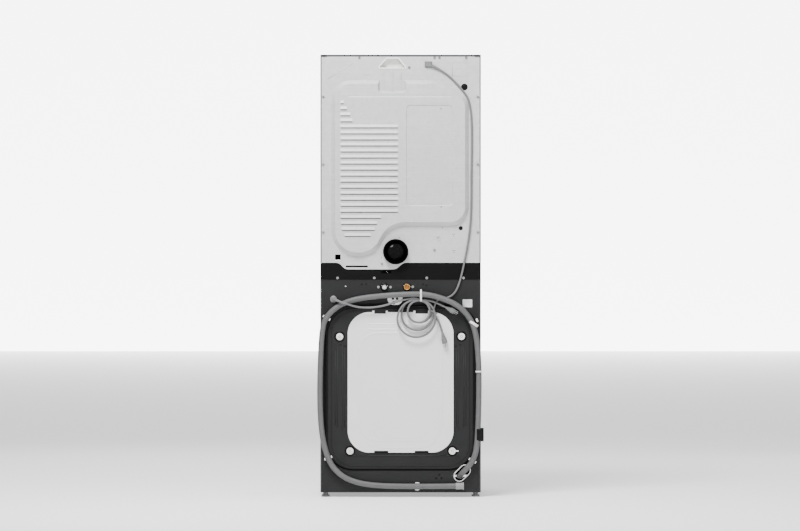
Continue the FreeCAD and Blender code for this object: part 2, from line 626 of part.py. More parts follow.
def push_button(x):
    """Push button: a domed cap with a stem and a collar that keeps it in the fascia."""
    cap = spun([(0, CONTROL_FACE + 8), (BUTTON_RADIUS, CONTROL_FACE + 8), (BUTTON_RADIUS, CONTROL_FACE - 3),
                (BUTTON_RADIUS - 2, CONTROL_FACE - 4.4), (0, CONTROL_FACE - 5)], x, CONTROL_MID)
    collar = rod(x, CONTROL_FACE + 3.2, CONTROL_MID, BUTTON_RADIUS + 2, 2)
    return fused([cap, collar])


def drawer_housing():
    """Dispenser box that the detergent drawer slides into."""
    x0, x1, z0, z1 = DRAWER
    outer = box(x0 - 3, x1 + 3, FRONT + 2, -70, z0 - 3, z1 + 3)
    inner = box(x0 - 0.6, x1 + 0.6, FRONT + 1, -73, z0 - 0.6, z1 + 0.6)
    return outer.cut(inner)


def detergent_drawer():
    """Drawer with three open compartments behind a flush front."""
    x0, x1, z0, z1 = DRAWER
    face = box(x0 + 1.5, x1 - 1.5, FRONT - 13, FRONT + 1, z0 + 1.5, z1 - 1.5)
    grip = box(x0 + 40, x1 - 40, FRONT - 14, FRONT - 4, z0 + 1, z0 + 14)
    tub = box(x0 + 2, x1 - 2, FRONT + 0.5, -76, z0 + 2, z1 - 22)
    wells = []
    third = (x1 - x0 - 4) / 3
    for i in range(3):
        low = x0 + 2 + i * third
        wells.append(box(low + 1.5, low + third - 1.5, FRONT + 4, -79, z0 + 5, z1))
    return fused([face.cut(grip), tub]).cut(wells)


def filter_flap():
    """Flap over the pump filter, hinged along its lower edge."""
    x0, x1, z0, z1 = FLAP
    leaf = box(x0 + 1.5, x1 - 1.5, FRONT - 1, FRONT + 2, z0 + 3, z1 - 1.5)
    knuckles = [rod(x, FRONT + 3.5, z0 + 6, 2.6, 22, X_AXIS) for x in (x0 + 8, x1 - 30)]
    return fused([leaf] + knuckles)


# ---------------------------------------------------------------- inside the washer

def washer_tub():
    """Plastic outer tub: ribbed rear wall with the bearing hub, open mouth in front."""
    r, t = TUB_RADIUS, TUB_WALL
    shell = spun([(DRUM_MOUTH + 8, TUB_FRONT), (r, TUB_FRONT), (r, TUB_REAR), (48, TUB_REAR),
                  (48, TUB_REAR + 16),
                  (27.5, TUB_REAR + 16), (27.5, TUB_REAR - t), (r - t, TUB_REAR - t),
                  (r - t, TUB_FRONT + t),
                  (DRUM_MOUTH + 8, TUB_FRONT + t)], 0, WASHER_AXIS_Z)
    ribs = []
    for a in range(0, 360, 30):
        rib = box(50, r - 6, TUB_REAR - 0.5, TUB_REAR + 10, -2, 2)
        rib.rotate(V(0, 0, 0), Y_AXIS, a)
        rib.translate(V(0, 0, WASHER_AXIS_Z))
        ribs.append(rib)
    return fused([shell] + ribs)


def tub_bearings():
    """Two sealed bearings in the hub."""
    return group(pipe(0, y, WASHER_AXIS_Z, 27.4, SHAFT_RADIUS + SHAFT_GAP, 9) for y in (TUB_REAR - 5,
                                                                                        TUB_REAR + 6))


def washer_drum():
    """Stainless drum, dished front lip, with rows of drain holes."""
    r, t = DRUM_RADIUS, DRUM_WALL
    shell = spun([(DRUM_MOUTH, DRUM_FRONT), (DRUM_MOUTH + 6, DRUM_FRONT - 4), (r - 14, DRUM_FRONT),
                  (r, DRUM_FRONT + 14),
                  (r, DRUM_REAR), (30, DRUM_REAR), (30, DRUM_REAR - t), (r - t, DRUM_REAR - t),
                  (r - t, DRUM_FRONT + 14.4), (r - 14.4, DRUM_FRONT + t), (DRUM_MOUTH, DRUM_FRONT + t)],
                  0, WASHER_AXIS_Z)
    return shell


def drum_lifters():
    """Three hollow baffles on the drum's wall."""
    lifters = []
    for a in (90, 210, 330):
        section = [V(DRUM_RADIUS - 2, 0, -26), V(DRUM_RADIUS - 44, 0, -9), V(DRUM_RADIUS - 44, 0, 9),
                   V(DRUM_RADIUS - 2, 0, 26)]
        bar = Part.Face(Part.makePolygon(section + section[:1])).extrude(V(0, 320, 0))
        bar.translate(V(-1.2, DRUM_FRONT + 26, 0))
        bar.rotate(V(0, 0, 0), Y_AXIS, a)
        bar.translate(V(0, 0, WASHER_AXIS_Z))
        lifters.append(bar)
    return group(lifters)


def drum_spider():
    """Three-armed casting behind the drum, with the drive shaft."""
    arms = []
    for a in (30, 150, 270):
        arm = box(0, DRUM_RADIUS - 16, DRUM_REAR + 0.1, DRUM_REAR + 14, -16, 16)
        arm.rotate(V(0, 0, 0), Y_AXIS, a)
        arm.translate(V(0, 0, WASHER_AXIS_Z))
        arms.append(arm)
    hub = rod(0, DRUM_REAR + 0.1, WASHER_AXIS_Z, 44, 20)
    shaft = rod(0, DRUM_REAR + 4, WASHER_AXIS_Z, SHAFT_RADIUS, 88)
    return fused(arms + [hub, shaft])


def motor_stator():
    """Wound ring screwed to the back of the tub."""
    ring = pipe(0, TUB_REAR + 18, WASHER_AXIS_Z, 112, 52, 10)
    teeth = []
    for i in range(36):
        tooth = box(108, ROTOR_RADIUS - 12, TUB_REAR + 20, TUB_REAR + 36, -6, 6)
        tooth.rotate(V(0, 0, 0), Y_AXIS, 10 * i)
        tooth.translate(V(0, 0, WASHER_AXIS_Z))
        teeth.append(tooth)
    return fused([ring] + teeth)


def motor_rotor():
    """Direct-drive rotor: a cup round the stator, pressed on the shaft's end."""
    back = TUB_REAR + 54
    return spun([(SHAFT_RADIUS, back - 18), (34, back - 18), (34, back - 4), (ROTOR_RADIUS - 5, back - 4),
                 (ROTOR_RADIUS - 5, back - 36), (ROTOR_RADIUS, back - 36), (ROTOR_RADIUS, back),
                 (SHAFT_RADIUS, back)],
                0, WASHER_AXIS_Z)


def counterweights():
    """Concrete blocks on the front of the tub, above and below the mouth."""
    ring = pipe(0, TUB_FRONT - 34, WASHER_AXIS_Z, TUB_RADIUS - 6, DRUM_MOUTH + 26, 33.8)
    upper = ring.common(box(-210, 210, -400, 0, WASHER_AXIS_Z + 90, WASHER_AXIS_Z + 280))
    lower = ring.common(box(-190, 190, -400, 0, WASHER_AXIS_Z - 280, WASHER_AXIS_Z - 110))
    return group([upper, lower])


SPRING_LOW = 682.0


def tub_suspension():
    """Two hanging springs and four friction dampers between the tub and the cabinet."""
    parts = []
    for side in (-1, 1):
        parts.append(rod(side * 205, -20, SPRING_LOW, 15, WASHER_TOP + 29.8 - SPRING_LOW, Z_AXIS))
        for y in (-150, 110):
            parts.append(Part.makeCylinder(13, 190, V(side * 190, y, FOOT_HEIGHT + 38), V(side * -52, 0,
                                                                                          185)))
    return group(parts)


def door_gasket():
    """Rubber bellows between the front panel's opening and the tub's mouth."""
    y0, y1 = FRONT + 0.2, TUB_FRONT + 3
    lip = DOOR_OPENING - 0.1
    return spun([(lip - 13, y0 + 1), (lip, y0), (lip, y0 + 16), (lip - 5, y0 + 22), (lip + 6, y0 + 34),
                 (lip + 6, y1 - 8),
                 (DRUM_MOUTH + 7.9, y1 - 6), (DRUM_MOUTH + 7.9, y1), (DRUM_MOUTH + 2, y1),
                 (lip + 1, y1 - 12),
                 (lip + 1, y0 + 36), (lip - 11, y0 + 24), (lip - 11, y0 + 20), (lip - 5, y0 + 14),
                 (lip - 5, y0 + 5),
                 (lip - 13, y0 + 4)], 0, WASHER_AXIS_Z)


def drain_pump():
    """Pump body and its screw-in filter behind the flap, and the sump hose to the drain outlet."""
    body = rod(225, FRONT + 60, 145, 42, 90)
    nose = rod(225, FRONT + 20, 145, 30, 60)
    handle = box(198, 252, FRONT + 10, FRONT + 24, 140, 150)
    stub = rod(225, FRONT + 120, 178, 14, 60, V(-1, 0.2, 0.2))
    return fused([body, nose, handle, stub])


# ---------------------------------------------------------------- inside the dryer

def around_dryer_axis(angle, distance):
    """(x, z) at an angle from straight down about the dryer drum's axis, +X side positive."""
    turn = math.radians(angle)
    return distance * math.sin(turn), DRYER_AXIS_Z - distance * math.cos(turn)


def dryer_drum():
    """Galvanised drum, open in front, with the perforated back wall and two baffles."""
    r, t = DRYER_DRUM_RADIUS, DRUM_WALL
    shell = spun([(r - 45, DRYER_DRUM_FRONT), (r, DRYER_DRUM_FRONT), (r, DRYER_DRUM_REAR),
                  (0, DRYER_DRUM_REAR),
                  (0, DRYER_DRUM_REAR - t), (r - t, DRYER_DRUM_REAR - t), (r - t, DRYER_DRUM_FRONT + t),
                  (r - 45, DRYER_DRUM_FRONT + t)], 0, DRYER_AXIS_Z)
    baffles = []
    for a in (0, 180):
        section = [V(r - 0.5, 0, -22), V(r - 62, 0, -7), V(r - 62, 0, 7), V(r - 0.5, 0, 22)]
        bar = Part.Face(Part.makePolygon(section + section[:1])).extrude(V(0, 420, 0))
        bar.translate(V(-0.8, DRYER_DRUM_FRONT + 50, 0))
        bar.rotate(V(0, 0, 0), Y_AXIS, a)
        bar.translate(V(0, 0, DRYER_AXIS_Z))
        baffles.append(bar)
    stub = rod(0, DRYER_DRUM_REAR - 0.4, DRYER_AXIS_Z, 12, 30)
    return fused([shell, stub] + baffles)


def drum_roller(side):
    """Support roller under the drum, bored for its spindle."""
    x, z = around_dryer_axis(side * ROLLER_ANGLE, DRYER_DRUM_RADIUS + ROLLER_RADIUS + 0.35)
    rim = pipe(x, ROLLER_Y, z, ROLLER_RADIUS, 8 + SHAFT_GAP, 18)
    return rim


def blower_housing():
    """Scroll round the blower wheel, with the motor bracket and both roller spindles."""
    y0, y1 = BLOWER_Y - 8, BLOWER_Y + 66
    wide = BLOWER_RADIUS + 18
    scroll = plate([(MOTOR_X - wide, MOTOR_Z - 76, 50), (MOTOR_X + wide, MOTOR_Z - 76, 50),
                    (MOTOR_X + wide, MOTOR_Z + 72, 50), (MOTOR_X - wide, MOTOR_Z + 72, 50)], y0, y1)
    hollow = rod(MOTOR_X, y0 + 3, MOTOR_Z, BLOWER_RADIUS + 4, y1 - y0 - 6)
    eye = rod(MOTOR_X, y0 - 1, MOTOR_Z, 16, 6)
    outlet = rod(EXHAUST_X, y1 - 4, EXHAUST_Z, EXHAUST_RADIUS - 19, 6)
    return scroll.cut([hollow, eye, outlet])


def dryer_bulkhead():
    """Cross member behind the drum: hub bearing, roller spindles and the heater's duct."""
    y0 = DRYER_DRUM_REAR + 14
    cross = box(-HALF + 4, HALF - 4, y0, y0 + 2, DRYER_AXIS_Z - 40, DRYER_AXIS_Z + 40)
    post = box(-HALF + 4, HALF - 4, y0, y0 + 2, 1170, 1210)
    upright = [box(side * 300 - 15, side * 300 + 15, y0, y0 + 2, 1170, DRYER_AXIS_Z) for side in (-1, 1)]
    hub = rod(0, y0 - 6, DRYER_AXIS_Z, 22, 10)
    bore = rod(0, y0 - 10, DRYER_AXIS_Z, 12 + SHAFT_GAP, 40)
    spindles = []
    for side in (-1, 1):
        x, z = around_dryer_axis(side * ROLLER_ANGLE, DRYER_DRUM_RADIUS + ROLLER_RADIUS + 0.35)
        spindles.append(rod(x, ROLLER_Y - 4, z, 8, y0 - ROLLER_Y + 5))
    duct = box(150, 270, y0 + 1, DRYER_REAR + 8, 1230, 1560)
    duct_inside = box(153, 267, y0 + 3, DRYER_REAR + 5, 1226, 1557)
    return fused([cross, post, hub, duct] + upright + spindles).cut([bore, duct_inside])


def blower_wheel():
    """Squirrel-cage wheel on the rear end of the motor's shaft."""
    back = BLOWER_Y + 50
    disc = pipe(MOTOR_X, back, MOTOR_Z, BLOWER_RADIUS - 2, 7.9, 3)
    hub = pipe(MOTOR_X, back - 22, MOTOR_Z, 16, 7.9, 24)
    ring = pipe(MOTOR_X, BLOWER_Y + 2, MOTOR_Z, BLOWER_RADIUS - 2, BLOWER_RADIUS - 16, 3)
    blades = []
    for i in range(24):
        blade = box(BLOWER_RADIUS - 14, BLOWER_RADIUS - 4, BLOWER_Y + 3, back + 1, -0.9, 0.9)
        blade.rotate(V(0, 0, 0), Y_AXIS, 15 * i)
        blade.translate(V(MOTOR_X, 0, MOTOR_Z))
        blades.append(blade)
    return fused([disc, hub, ring] + blades)


def dryer_motor():
    """Motor body in its cradle on the dryer's base pan."""
    body = pipe(MOTOR_X, 10, MOTOR_Z, 62, 8 + SHAFT_GAP, 140)
    cradle = box(MOTOR_X - 50, MOTOR_X + 50, 30, 130, DRYER_BOTTOM - 36, MOTOR_Z - 40)
    return fused([body, cradle])


def motor_shaft():
    """Motor shaft with the belt pulley in front; the blower wheel sits on its other end."""
    shaft = rod(MOTOR_X, -40, MOTOR_Z, 8, 282)
    pulley = rod(MOTOR_X, BELT_Y - 8, MOTOR_Z, PULLEY_RADIUS, 16)
    flanges = [rod(MOTOR_X, y, MOTOR_Z, PULLEY_RADIUS + 4, 2) for y in (BELT_Y - 10, BELT_Y + 8)]
    return fused([shaft, pulley] + flanges)


def belt_outline(drum_radius, pulley_radius):
    """The face inside a belt round the drum and the pulley."""
    far = math.hypot(MOTOR_X, DRYER_AXIS_Z - MOTOR_Z)
    lean = math.atan2(MOTOR_X, DRYER_AXIS_Z - MOTOR_Z)
    spread = math.acos((drum_radius - pulley_radius) / far)
    def touch(centre_x, centre_z, radius, side):
        angle = side * spread
        dx = math.sin(lean + angle)
        dz = -math.cos(lean + angle)
        return V(centre_x + radius * dx, 0, centre_z + radius * dz)
    drum_a = touch(0, DRYER_AXIS_Z, drum_radius, 1)
    drum_b = touch(0, DRYER_AXIS_Z, drum_radius, -1)
    pulley_a = touch(MOTOR_X, MOTOR_Z, pulley_radius, 1)
    pulley_b = touch(MOTOR_X, MOTOR_Z, pulley_radius, -1)
    top = V(-drum_radius * math.sin(lean), 0, DRYER_AXIS_Z + drum_radius * math.cos(lean))
    low = V(MOTOR_X + pulley_radius * math.sin(lean), 0, MOTOR_Z - pulley_radius * math.cos(lean))
    edges = [Part.Arc(drum_b, top, drum_a).toShape(), Part.LineSegment(drum_a, pulley_a).toShape(),
             Part.Arc(pulley_a, low, pulley_b).toShape(), Part.LineSegment(pulley_b, drum_b).toShape()]
    return Part.Face(Part.Wire(edges))


def drive_belt():
    """Flat belt round the drum and the motor's pulley."""
    outer = belt_outline(DRYER_DRUM_RADIUS + 0.4 + BELT_THICK, PULLEY_RADIUS + 0.4 + BELT_THICK)
    inner = belt_outline(DRYER_DRUM_RADIUS + 0.4, PULLEY_RADIUS + 0.4)
    belt = outer.extrude(V(0, 12, 0)).cut(inner.extrude(V(0, 12, 0)))
    belt.translate(V(0, BELT_Y - 6, 0))
    return belt


def exhaust_duct():
    """Four inch spigot from the blower housing out through the rear panel."""
    y0 = BLOWER_Y + 66.2
    pipe_part = pipe(EXHAUST_X, y0, EXHAUST_Z, EXHAUST_RADIUS - 16, EXHAUST_RADIUS - 17.2, 40)
    cone = spun([(EXHAUST_RADIUS - 17.2, y0 + 38), (EXHAUST_RADIUS - 16, y0 + 38),
                 (EXHAUST_RADIUS, y0 + 62),
                 (EXHAUST_RADIUS - 1.2, y0 + 62)], EXHAUST_X, EXHAUST_Z)
    outer = pipe(EXHAUST_X, y0 + 61, EXHAUST_Z, EXHAUST_RADIUS, EXHAUST_RADIUS - 1.2, REAR_MOST - y0 - 61)
    bead = pipe(EXHAUST_X, DRYER_REAR + 9, EXHAUST_Z, EXHAUST_RADIUS + 1.8, EXHAUST_RADIUS - 1, 3)
    collar = pipe(EXHAUST_X, DRYER_REAR - 4, EXHAUST_Z, EXHAUST_RADIUS + 3.2, EXHAUST_RADIUS - 1, 6)
    return fused([pipe_part, cone, outer, bead, collar])


def lint_filter():
    """Lint screen that lifts out of the sill of the dryer's opening."""
    low = DRYER_AXIS_Z - 232
    high = DRYER_AXIS_Z - 138
    frame = box(-110, 110, FRONT + 34, FRONT + 42, low, high)
    hollows = [box(x - 46, x + 46, FRONT + 33, FRONT + 43, low + 8, high - 18) for x in (-54, 54)]
    screens = [box(x - 46.5, x + 46.5, FRONT + 37.4, FRONT + 38.6, low + 7.5, high - 17.5) for x in (-54,
                                                                                                     54)]
    handle = box(-40, 40, FRONT + 34, FRONT + 50, high - 6, high + 4)
    return fused([frame.cut(hollows), handle] + screens)


# ---------------------------------------------------------------- hose and leads

HOSE_Y = WASHER_REAR + REAR_TUCK
HOSE_OUT = 12.0          # how far the hose stands out where a lead passes behind it
HOSE_ROUTE = [
    (-249, 343, 86), (-268, 364, 107), (-282, 371, 122), (-298, 371, 140), (-316, 371, 171),
    (-326, 371, 222),
    (-331, 371, 300), (-334, 371, 410), (-335, 371, 520), (-331, 371, 622), (-321, 372, 700),
    (-302, 374, 755),
    (-268, 380, 799), (-226, 383, 829), (-170, 384, 852), (-112, 383, 866), (-50, 378.5, 867), (20, 375, 864),
    (95, 373, 858), (165, 371, 850), (225, 371, 836), (272, 371, 812), (306, 371, 783), (327, 371, 748),
    (336, 371, 700), (341, 371, 620), (344, 371, 520), (345, 371, 420), (342, 371, 330), (335, 371, 262),
    (322, 371, 200), (296, 371, 134), (250, 371, 88), (190, 371, 62), (115, 371, 50), (35, 371, 46.6),
    (-50, 371, 45.6), (-130, 371.6, 45.9), (-195, 373.4, 46.6), (-236, 375.2, 47.4)]
DRYER_LEAD_ROUTE = [
    (-131, 366.6, 1843), (-152, 367.4, 1834), (-178, 367.4, 1819), (-206, 367.4, 1799), (-234, 367.4, 1772),
    (-262, 367.4, 1741), (-287, 367.4, 1708), (-298, 367.4, 1664), (-303, 367.4, 1610), (-304.5, 367.4,
                                                                                         1530),
    (-303.5, 367.4, 1450), (-302, 367.4, 1370), (-302.5, 367.4, 1290), (-301, 367.4, 1210),
    (-296, 367.4, 1140),
    (-286, 367.6, 1072), (-274, 367.4, 1010), (-262, 365.8, 955), (-249, 364.2, 908), (-232, 363.4, 871),
    (-204, 363.4, 850), (-178, 363.6, 851), (-157, 363.8, 842), (-146, 364, 822), (-141.5, 364.2, 800)]
WASHER_LEAD_ROUTE = [
    (284, 364, 844), (277, 377, 841.5), (267, 388, 838), (253, 394.6, 833), (234, 395, 826.5),
    (215, 389.6, 820),
    (192, 380.6, 813), (160, 375.2, 809), (120, 374.4, 809.4), (78, 374.2, 815.5), (35, 374.2, 828),
    (-8, 374.2, 841.6),
    (-48, 374.3, 849.6)]
WASHER_PLUG_ROUTE = [(-100, 374.2, 842), (-126, 374, 839), (-152, 374, 830), (-176, 374, 819),
                     (-197, 374, 808.5)]
DRYER_PLUG_ROUTE = [(-141, 364.4, 790), (-152, 365.6, 768), (-165, 367, 745), (-174, 368, 720),
                    (-179.5, 368.4, 697)]


def route_tube(name, route, diameter):
    """A round tube along straight runs joined by tangent arcs, each as large as its runs allow."""
    points = [V(*point) for point in route]
    edges = []
    radii = []
    start = points[0]
    for before, corner, after in zip(points, points[1:], points[2:]):
        back = before - corner
        ahead = after - corner
        reach = 0.45 * min(back.Length, ahead.Length)
        half_turn = (math.pi - back.getAngle(ahead)) / 2
        radius = reach / math.tan(half_turn)
        back.normalize()
        ahead.normalize()
        middle_way = back + ahead
        middle_way.normalize()
        first = corner + back * reach
        last = corner + ahead * reach
        middle = corner + middle_way * (radius / math.cos(half_turn) - radius)
        edges.append(Part.LineSegment(start, first).toShape())
        edges.append(Part.Arc(first, middle, last).toShape())
        start = last
        radii.append(radius)
    edges.append(Part.LineSegment(start, points[-1]).toShape())
    path = Part.Wire(edges)
    section = Part.Wire([Part.Circle(points[0], points[1] - points[0], diameter / 2).toShape()])
    tube = path.makePipeShell([section], True, False)
    expected = math.pi * diameter ** 2 / 4 * path.Length
    print(name, "length", round(path.Length), "radii in diameters", [round(r / diameter, 1) for r in radii],
          "volume ratio", round(tube.Volume / expected, 4))
    return tube


# centre (x, z) and radius of the largest and the smallest turn of each lead's coil
COIL_INNER = (-76, 796, 54)
WASHER_COIL = (-67, 765, 88)
DRYER_COIL = (-71, 780, 73)
COIL_Y = {"washer": 374.2, "dryer": 364.0}
COIL_THICK = 9.2


def coil_solid(outer, inner, y):
    """The outer shape of a hanging coil: turns that meet at the tie and fan out below it."""
    disc = rod(outer[0], y - COIL_THICK / 2, outer[1], outer[2], COIL_THICK)
    eye = rod(inner[0], y - COIL_THICK, inner[1], inner[2] - LEAD_DIAMETER, COIL_THICK * 2)
    return disc.cut(eye)


def power_plug(route, grip_length):
    """Moulded three-pin plug at the end of a route, pointing along its last run."""
    end = V(*route[-1])
    way = end - V(*route[-2])
    way.normalize()
    across = way.cross(Y_AXIS)
    body = Part.makeCone(6, 13, grip_length * 0.55, end, way)
    block = Part.makeCylinder(13, grip_length * 0.45, end + way * (grip_length * 0.55), way)
    pins = []
    for side in (-1, 1):
        pins.append(Part.makeCylinder(2.2, 17, end + way * (grip_length - 1) + across * (6.5 * side), way))
    return fused([body, block] + pins)


def hose_cuff():
    """Push-on cuff at the free end of the drain hose."""
    end = V(*HOSE_ROUTE[-1])
    way = end - V(*HOSE_ROUTE[-2])
    way.normalize()
    sleeve = Part.makeCylinder(14.2, 34, end, way)
    lip = Part.makeCylinder(15.6, 5, end + way * 29, way)
    hollow = Part.makeCylinder(9.5, 31, end + way * 4, way)
    return fused([sleeve, lip]).cut(hollow)


# ---------------------------------------------------------------- write every sub-part

save("side_panels", group(side_panels(FOOT_HEIGHT, WASHER_TOP, WASHER_REAR)
                          + side_panels(DRYER_BOTTOM, HEIGHT - 8.2, DRYER_REAR)))
save("base_frame", base_frame())
save("levelling_feet", levelling_feet())
save("top_cover", top_cover())
save("middle_band", middle_band())
save("dryer_rear_panel", dryer_rear_panel())
save("grip_insert", grip_insert())
save("washer_rear_frame", washer_rear_frame())
save("rear_cover_ring", rear_cover_ring())
save("rear_cover_plate", rear_cover_plate())
save("transport_caps", transport_caps())
save("inlet_valves", inlet_valves())
save("rear_screws", rear_screws())
save("hose_clips", hose_clips())
save("cord_glands", cord_glands())
save("washer_front_panel", washer_front_panel())
save("dryer_front_panel", dryer_front_panel())
for prefix, level, bowl in (("washer", WASHER_AXIS_Z, 92), ("dryer", DRYER_AXIS_Z, 14)):
    save(prefix + "_door_frame", door_frame(level))
    save(prefix + "_door_glass", door_glass(level, bowl))
save("door_hinges", door_hinges())
save("control_panel", control_panel())
save("display_window", display_window())
for dial_name, dial_x in DIALS.items():
    save(dial_name, dial(dial_x))
for button_name, button_x in BUTTONS.items():
    save(button_name, push_button(button_x))
save("drawer_housing", drawer_housing())
save("detergent_drawer", detergent_drawer())
save("filter_flap", filter_flap())
save("washer_tub", washer_tub())
save("tub_bearings", tub_bearings())
save("washer_drum", washer_drum())
save("drum_lifters", drum_lifters())
save("drum_spider", drum_spider())
save("motor_stator", motor_stator())
save("motor_rotor", motor_rotor())
save("counterweights", counterweights())
save("tub_suspension", tub_suspension())
save("door_gasket", door_gasket())
save("drain_pump", drain_pump())
save("dryer_drum", dryer_drum())
save("drum_roller_left", drum_roller(-1))
save("drum_roller_right", drum_roller(1))
save("dryer_bulkhead", dryer_bulkhead())
save("dryer_motor", dryer_motor())
save("motor_shaft", motor_shaft())
save("blower_wheel", blower_wheel())
save("blower_housing", blower_housing())
save("drive_belt", drive_belt())
save("exhaust_duct", exhaust_duct())
save("lint_filter", lint_filter())
save("drain_hose", route_tube("drain_hose", HOSE_ROUTE, HOSE_DIAMETER))
save("hose_cuff", hose_cuff())
save("washer_cord", group([route_tube("washer_cord", WASHER_LEAD_ROUTE, LEAD_DIAMETER),
                           route_tube("washer_plug_lead", WASHER_PLUG_ROUTE, LEAD_DIAMETER)]))
save("dryer_cord", group([route_tube("dryer_cord", DRYER_LEAD_ROUTE, LEAD_DIAMETER),
                          route_tube("dryer_plug_lead", DRYER_PLUG_ROUTE, LEAD_DIAMETER)]))
save("cord_coils", group([coil_solid(WASHER_COIL, COIL_INNER, COIL_Y["washer"]),
                          coil_solid(DRYER_COIL, COIL_INNER, COIL_Y["dryer"])]))
save("power_plugs", group([power_plug(WASHER_PLUG_ROUTE, 36), power_plug(DRYER_PLUG_ROUTE, 42)]))
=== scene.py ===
import json
import math
import bmesh
import bpy
from mathutils import Matrix, Vector


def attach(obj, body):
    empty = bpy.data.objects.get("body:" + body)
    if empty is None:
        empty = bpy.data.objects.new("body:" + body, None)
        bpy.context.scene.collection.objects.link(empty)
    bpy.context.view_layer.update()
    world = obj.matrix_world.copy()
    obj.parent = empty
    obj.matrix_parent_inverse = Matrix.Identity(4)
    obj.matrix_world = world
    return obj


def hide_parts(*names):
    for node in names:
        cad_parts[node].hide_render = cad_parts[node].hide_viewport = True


# A washer dryer stack seen from its wall side. Metres, +Z up, doors on -Y, wall side on +Y.

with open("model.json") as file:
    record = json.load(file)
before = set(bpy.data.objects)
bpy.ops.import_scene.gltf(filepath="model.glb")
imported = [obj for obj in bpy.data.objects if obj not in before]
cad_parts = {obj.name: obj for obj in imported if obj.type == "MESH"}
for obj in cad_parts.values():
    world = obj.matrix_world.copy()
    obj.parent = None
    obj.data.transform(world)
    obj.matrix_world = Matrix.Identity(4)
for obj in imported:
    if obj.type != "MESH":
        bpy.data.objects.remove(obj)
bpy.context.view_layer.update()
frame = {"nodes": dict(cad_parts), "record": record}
NODES = frame["nodes"]
MM = 0.001


# ---------------------------------------------------------------- materials

def new_material(name, base, roughness, metallic=0.0):
    """A material with a Principled shader; returns it with its nodes and the shader."""
    material = bpy.data.materials.new(name)
    material.use_nodes = True
    nodes = material.node_tree.nodes
    shader = nodes["Principled BSDF"]
    shader.inputs["Base Color"].default_value = (*base, 1)
    shader.inputs["Roughness"].default_value = roughness
    shader.inputs["Metallic"].default_value = metallic
    return material, nodes, shader


def light_up(material, tone, strength):
    """Make a material glow."""
    shader = material.node_tree.nodes["Principled BSDF"]
    shader.inputs["Emission Color"].default_value = (*tone, 1)
    shader.inputs["Emission Strength"].default_value = strength


def link(material, out_socket, in_socket):
    """Join two sockets of a material."""
    material.node_tree.links.new(out_socket, in_socket)


def place(material, scale):
    """Object coordinates, scaled."""
    nodes = material.node_tree.nodes
    coord = nodes.new("ShaderNodeTexCoord")
    mapping = nodes.new("ShaderNodeMapping")
    mapping.inputs["Scale"].default_value = scale if hasattr(scale, "__len__") else (scale,) * 3
    link(material, coord.outputs["Object"], mapping.inputs["Vector"])
    return mapping.outputs["Vector"]


def noise(material, scale, detail=3.0, roughness=0.55):
    """A noise texture's value."""
    texture = material.node_tree.nodes.new("ShaderNodeTexNoise")
    texture.inputs["Scale"].default_value = 1.0
    texture.inputs["Detail"].default_value = detail
    texture.inputs["Roughness"].default_value = roughness
    link(material, place(material, scale), texture.inputs["Vector"])
    return texture.outputs["Fac"]


def spread(material, value, low, high, start=0.3, end=0.7):
    """A value stretched from start..end to low..high."""
    node = material.node_tree.nodes.new("ShaderNodeMapRange")
    node.inputs["From Min"].default_value = start
    node.inputs["From Max"].default_value = end
    node.inputs["To Min"].default_value = low
    node.inputs["To Max"].default_value = high
    link(material, value, node.inputs["Value"])
    return node.outputs["Result"]


def tones(material, value, dark, light):
    """A colour between two tones."""
    ramp = material.node_tree.nodes.new("ShaderNodeValToRGB")
    ramp.color_ramp.elements[0].color = (*dark, 1)
    ramp.color_ramp.elements[1].color = (*light, 1)
    link(material, value, ramp.inputs["Fac"])
    return ramp.outputs["Color"]


def bump(material, shader, height, strength, distance):
    """Surface relief from a height."""
    node = material.node_tree.nodes.new("ShaderNodeBump")
    node.inputs["Strength"].default_value = strength
    node.inputs["Distance"].default_value = distance
    link(material, height, node.inputs["Height"])
    link(material, node.outputs["Normal"], shader.inputs["Normal"])


def shade(colour, factor):
    """A colour made darker or lighter."""
    return tuple(min(1.0, c * factor) for c in colour)


def edge_wear_and_highlight(material, colour_socket, edge_wear_and_highlight_colour, amount):
    """Worn edges and a painted edge highlight: the pointiest places take the edge colour."""
    nodes = material.node_tree.nodes
    geometry = nodes.new("ShaderNodeNewGeometry")
    edge_wear_and_highlight_mask = spread(material, geometry.outputs["Pointiness"], 0.0, amount, 0.52, 0.62)
    mix = nodes.new("ShaderNodeMix")
    mix.data_type = "RGBA"
    link(material, edge_wear_and_highlight_mask, mix.inputs["Factor"])
    link(material, colour_socket, mix.inputs["A"])
    mix.inputs["B"].default_value = (*edge_wear_and_highlight_colour, 1)
    return mix.outputs["Result"]


def painted(name, base, roughness=0.42, grain=1400, variation=0.10, coat=0.0, edge=1.6, relief=0.05, gloss=0.5):
    """Enamelled sheet: fine orange peel, faint cloudy tone, lighter at the edges as wear and a painted highlight."""
    material, _, shader = new_material(name, base, roughness)
    cloudy = noise(material, 9, 4)
    colour = tones(material, spread(material, cloudy, 0, 1), shade(base, 1 - variation), shade(base, 1 + variation))
    link(material, edge_wear_and_highlight(material, colour, shade(base, edge), 0.6), shader.inputs["Base Color"])
    uneven = spread(material, noise(material, 14, 3), roughness - 0.02, roughness + 0.03)
    link(material, uneven, shader.inputs["Roughness"])
    shader.inputs["Coat Weight"].default_value = coat
    shader.inputs["Specular IOR Level"].default_value = gloss
    bump(material, shader, noise(material, grain, 2), relief, 0.0006)
    return material


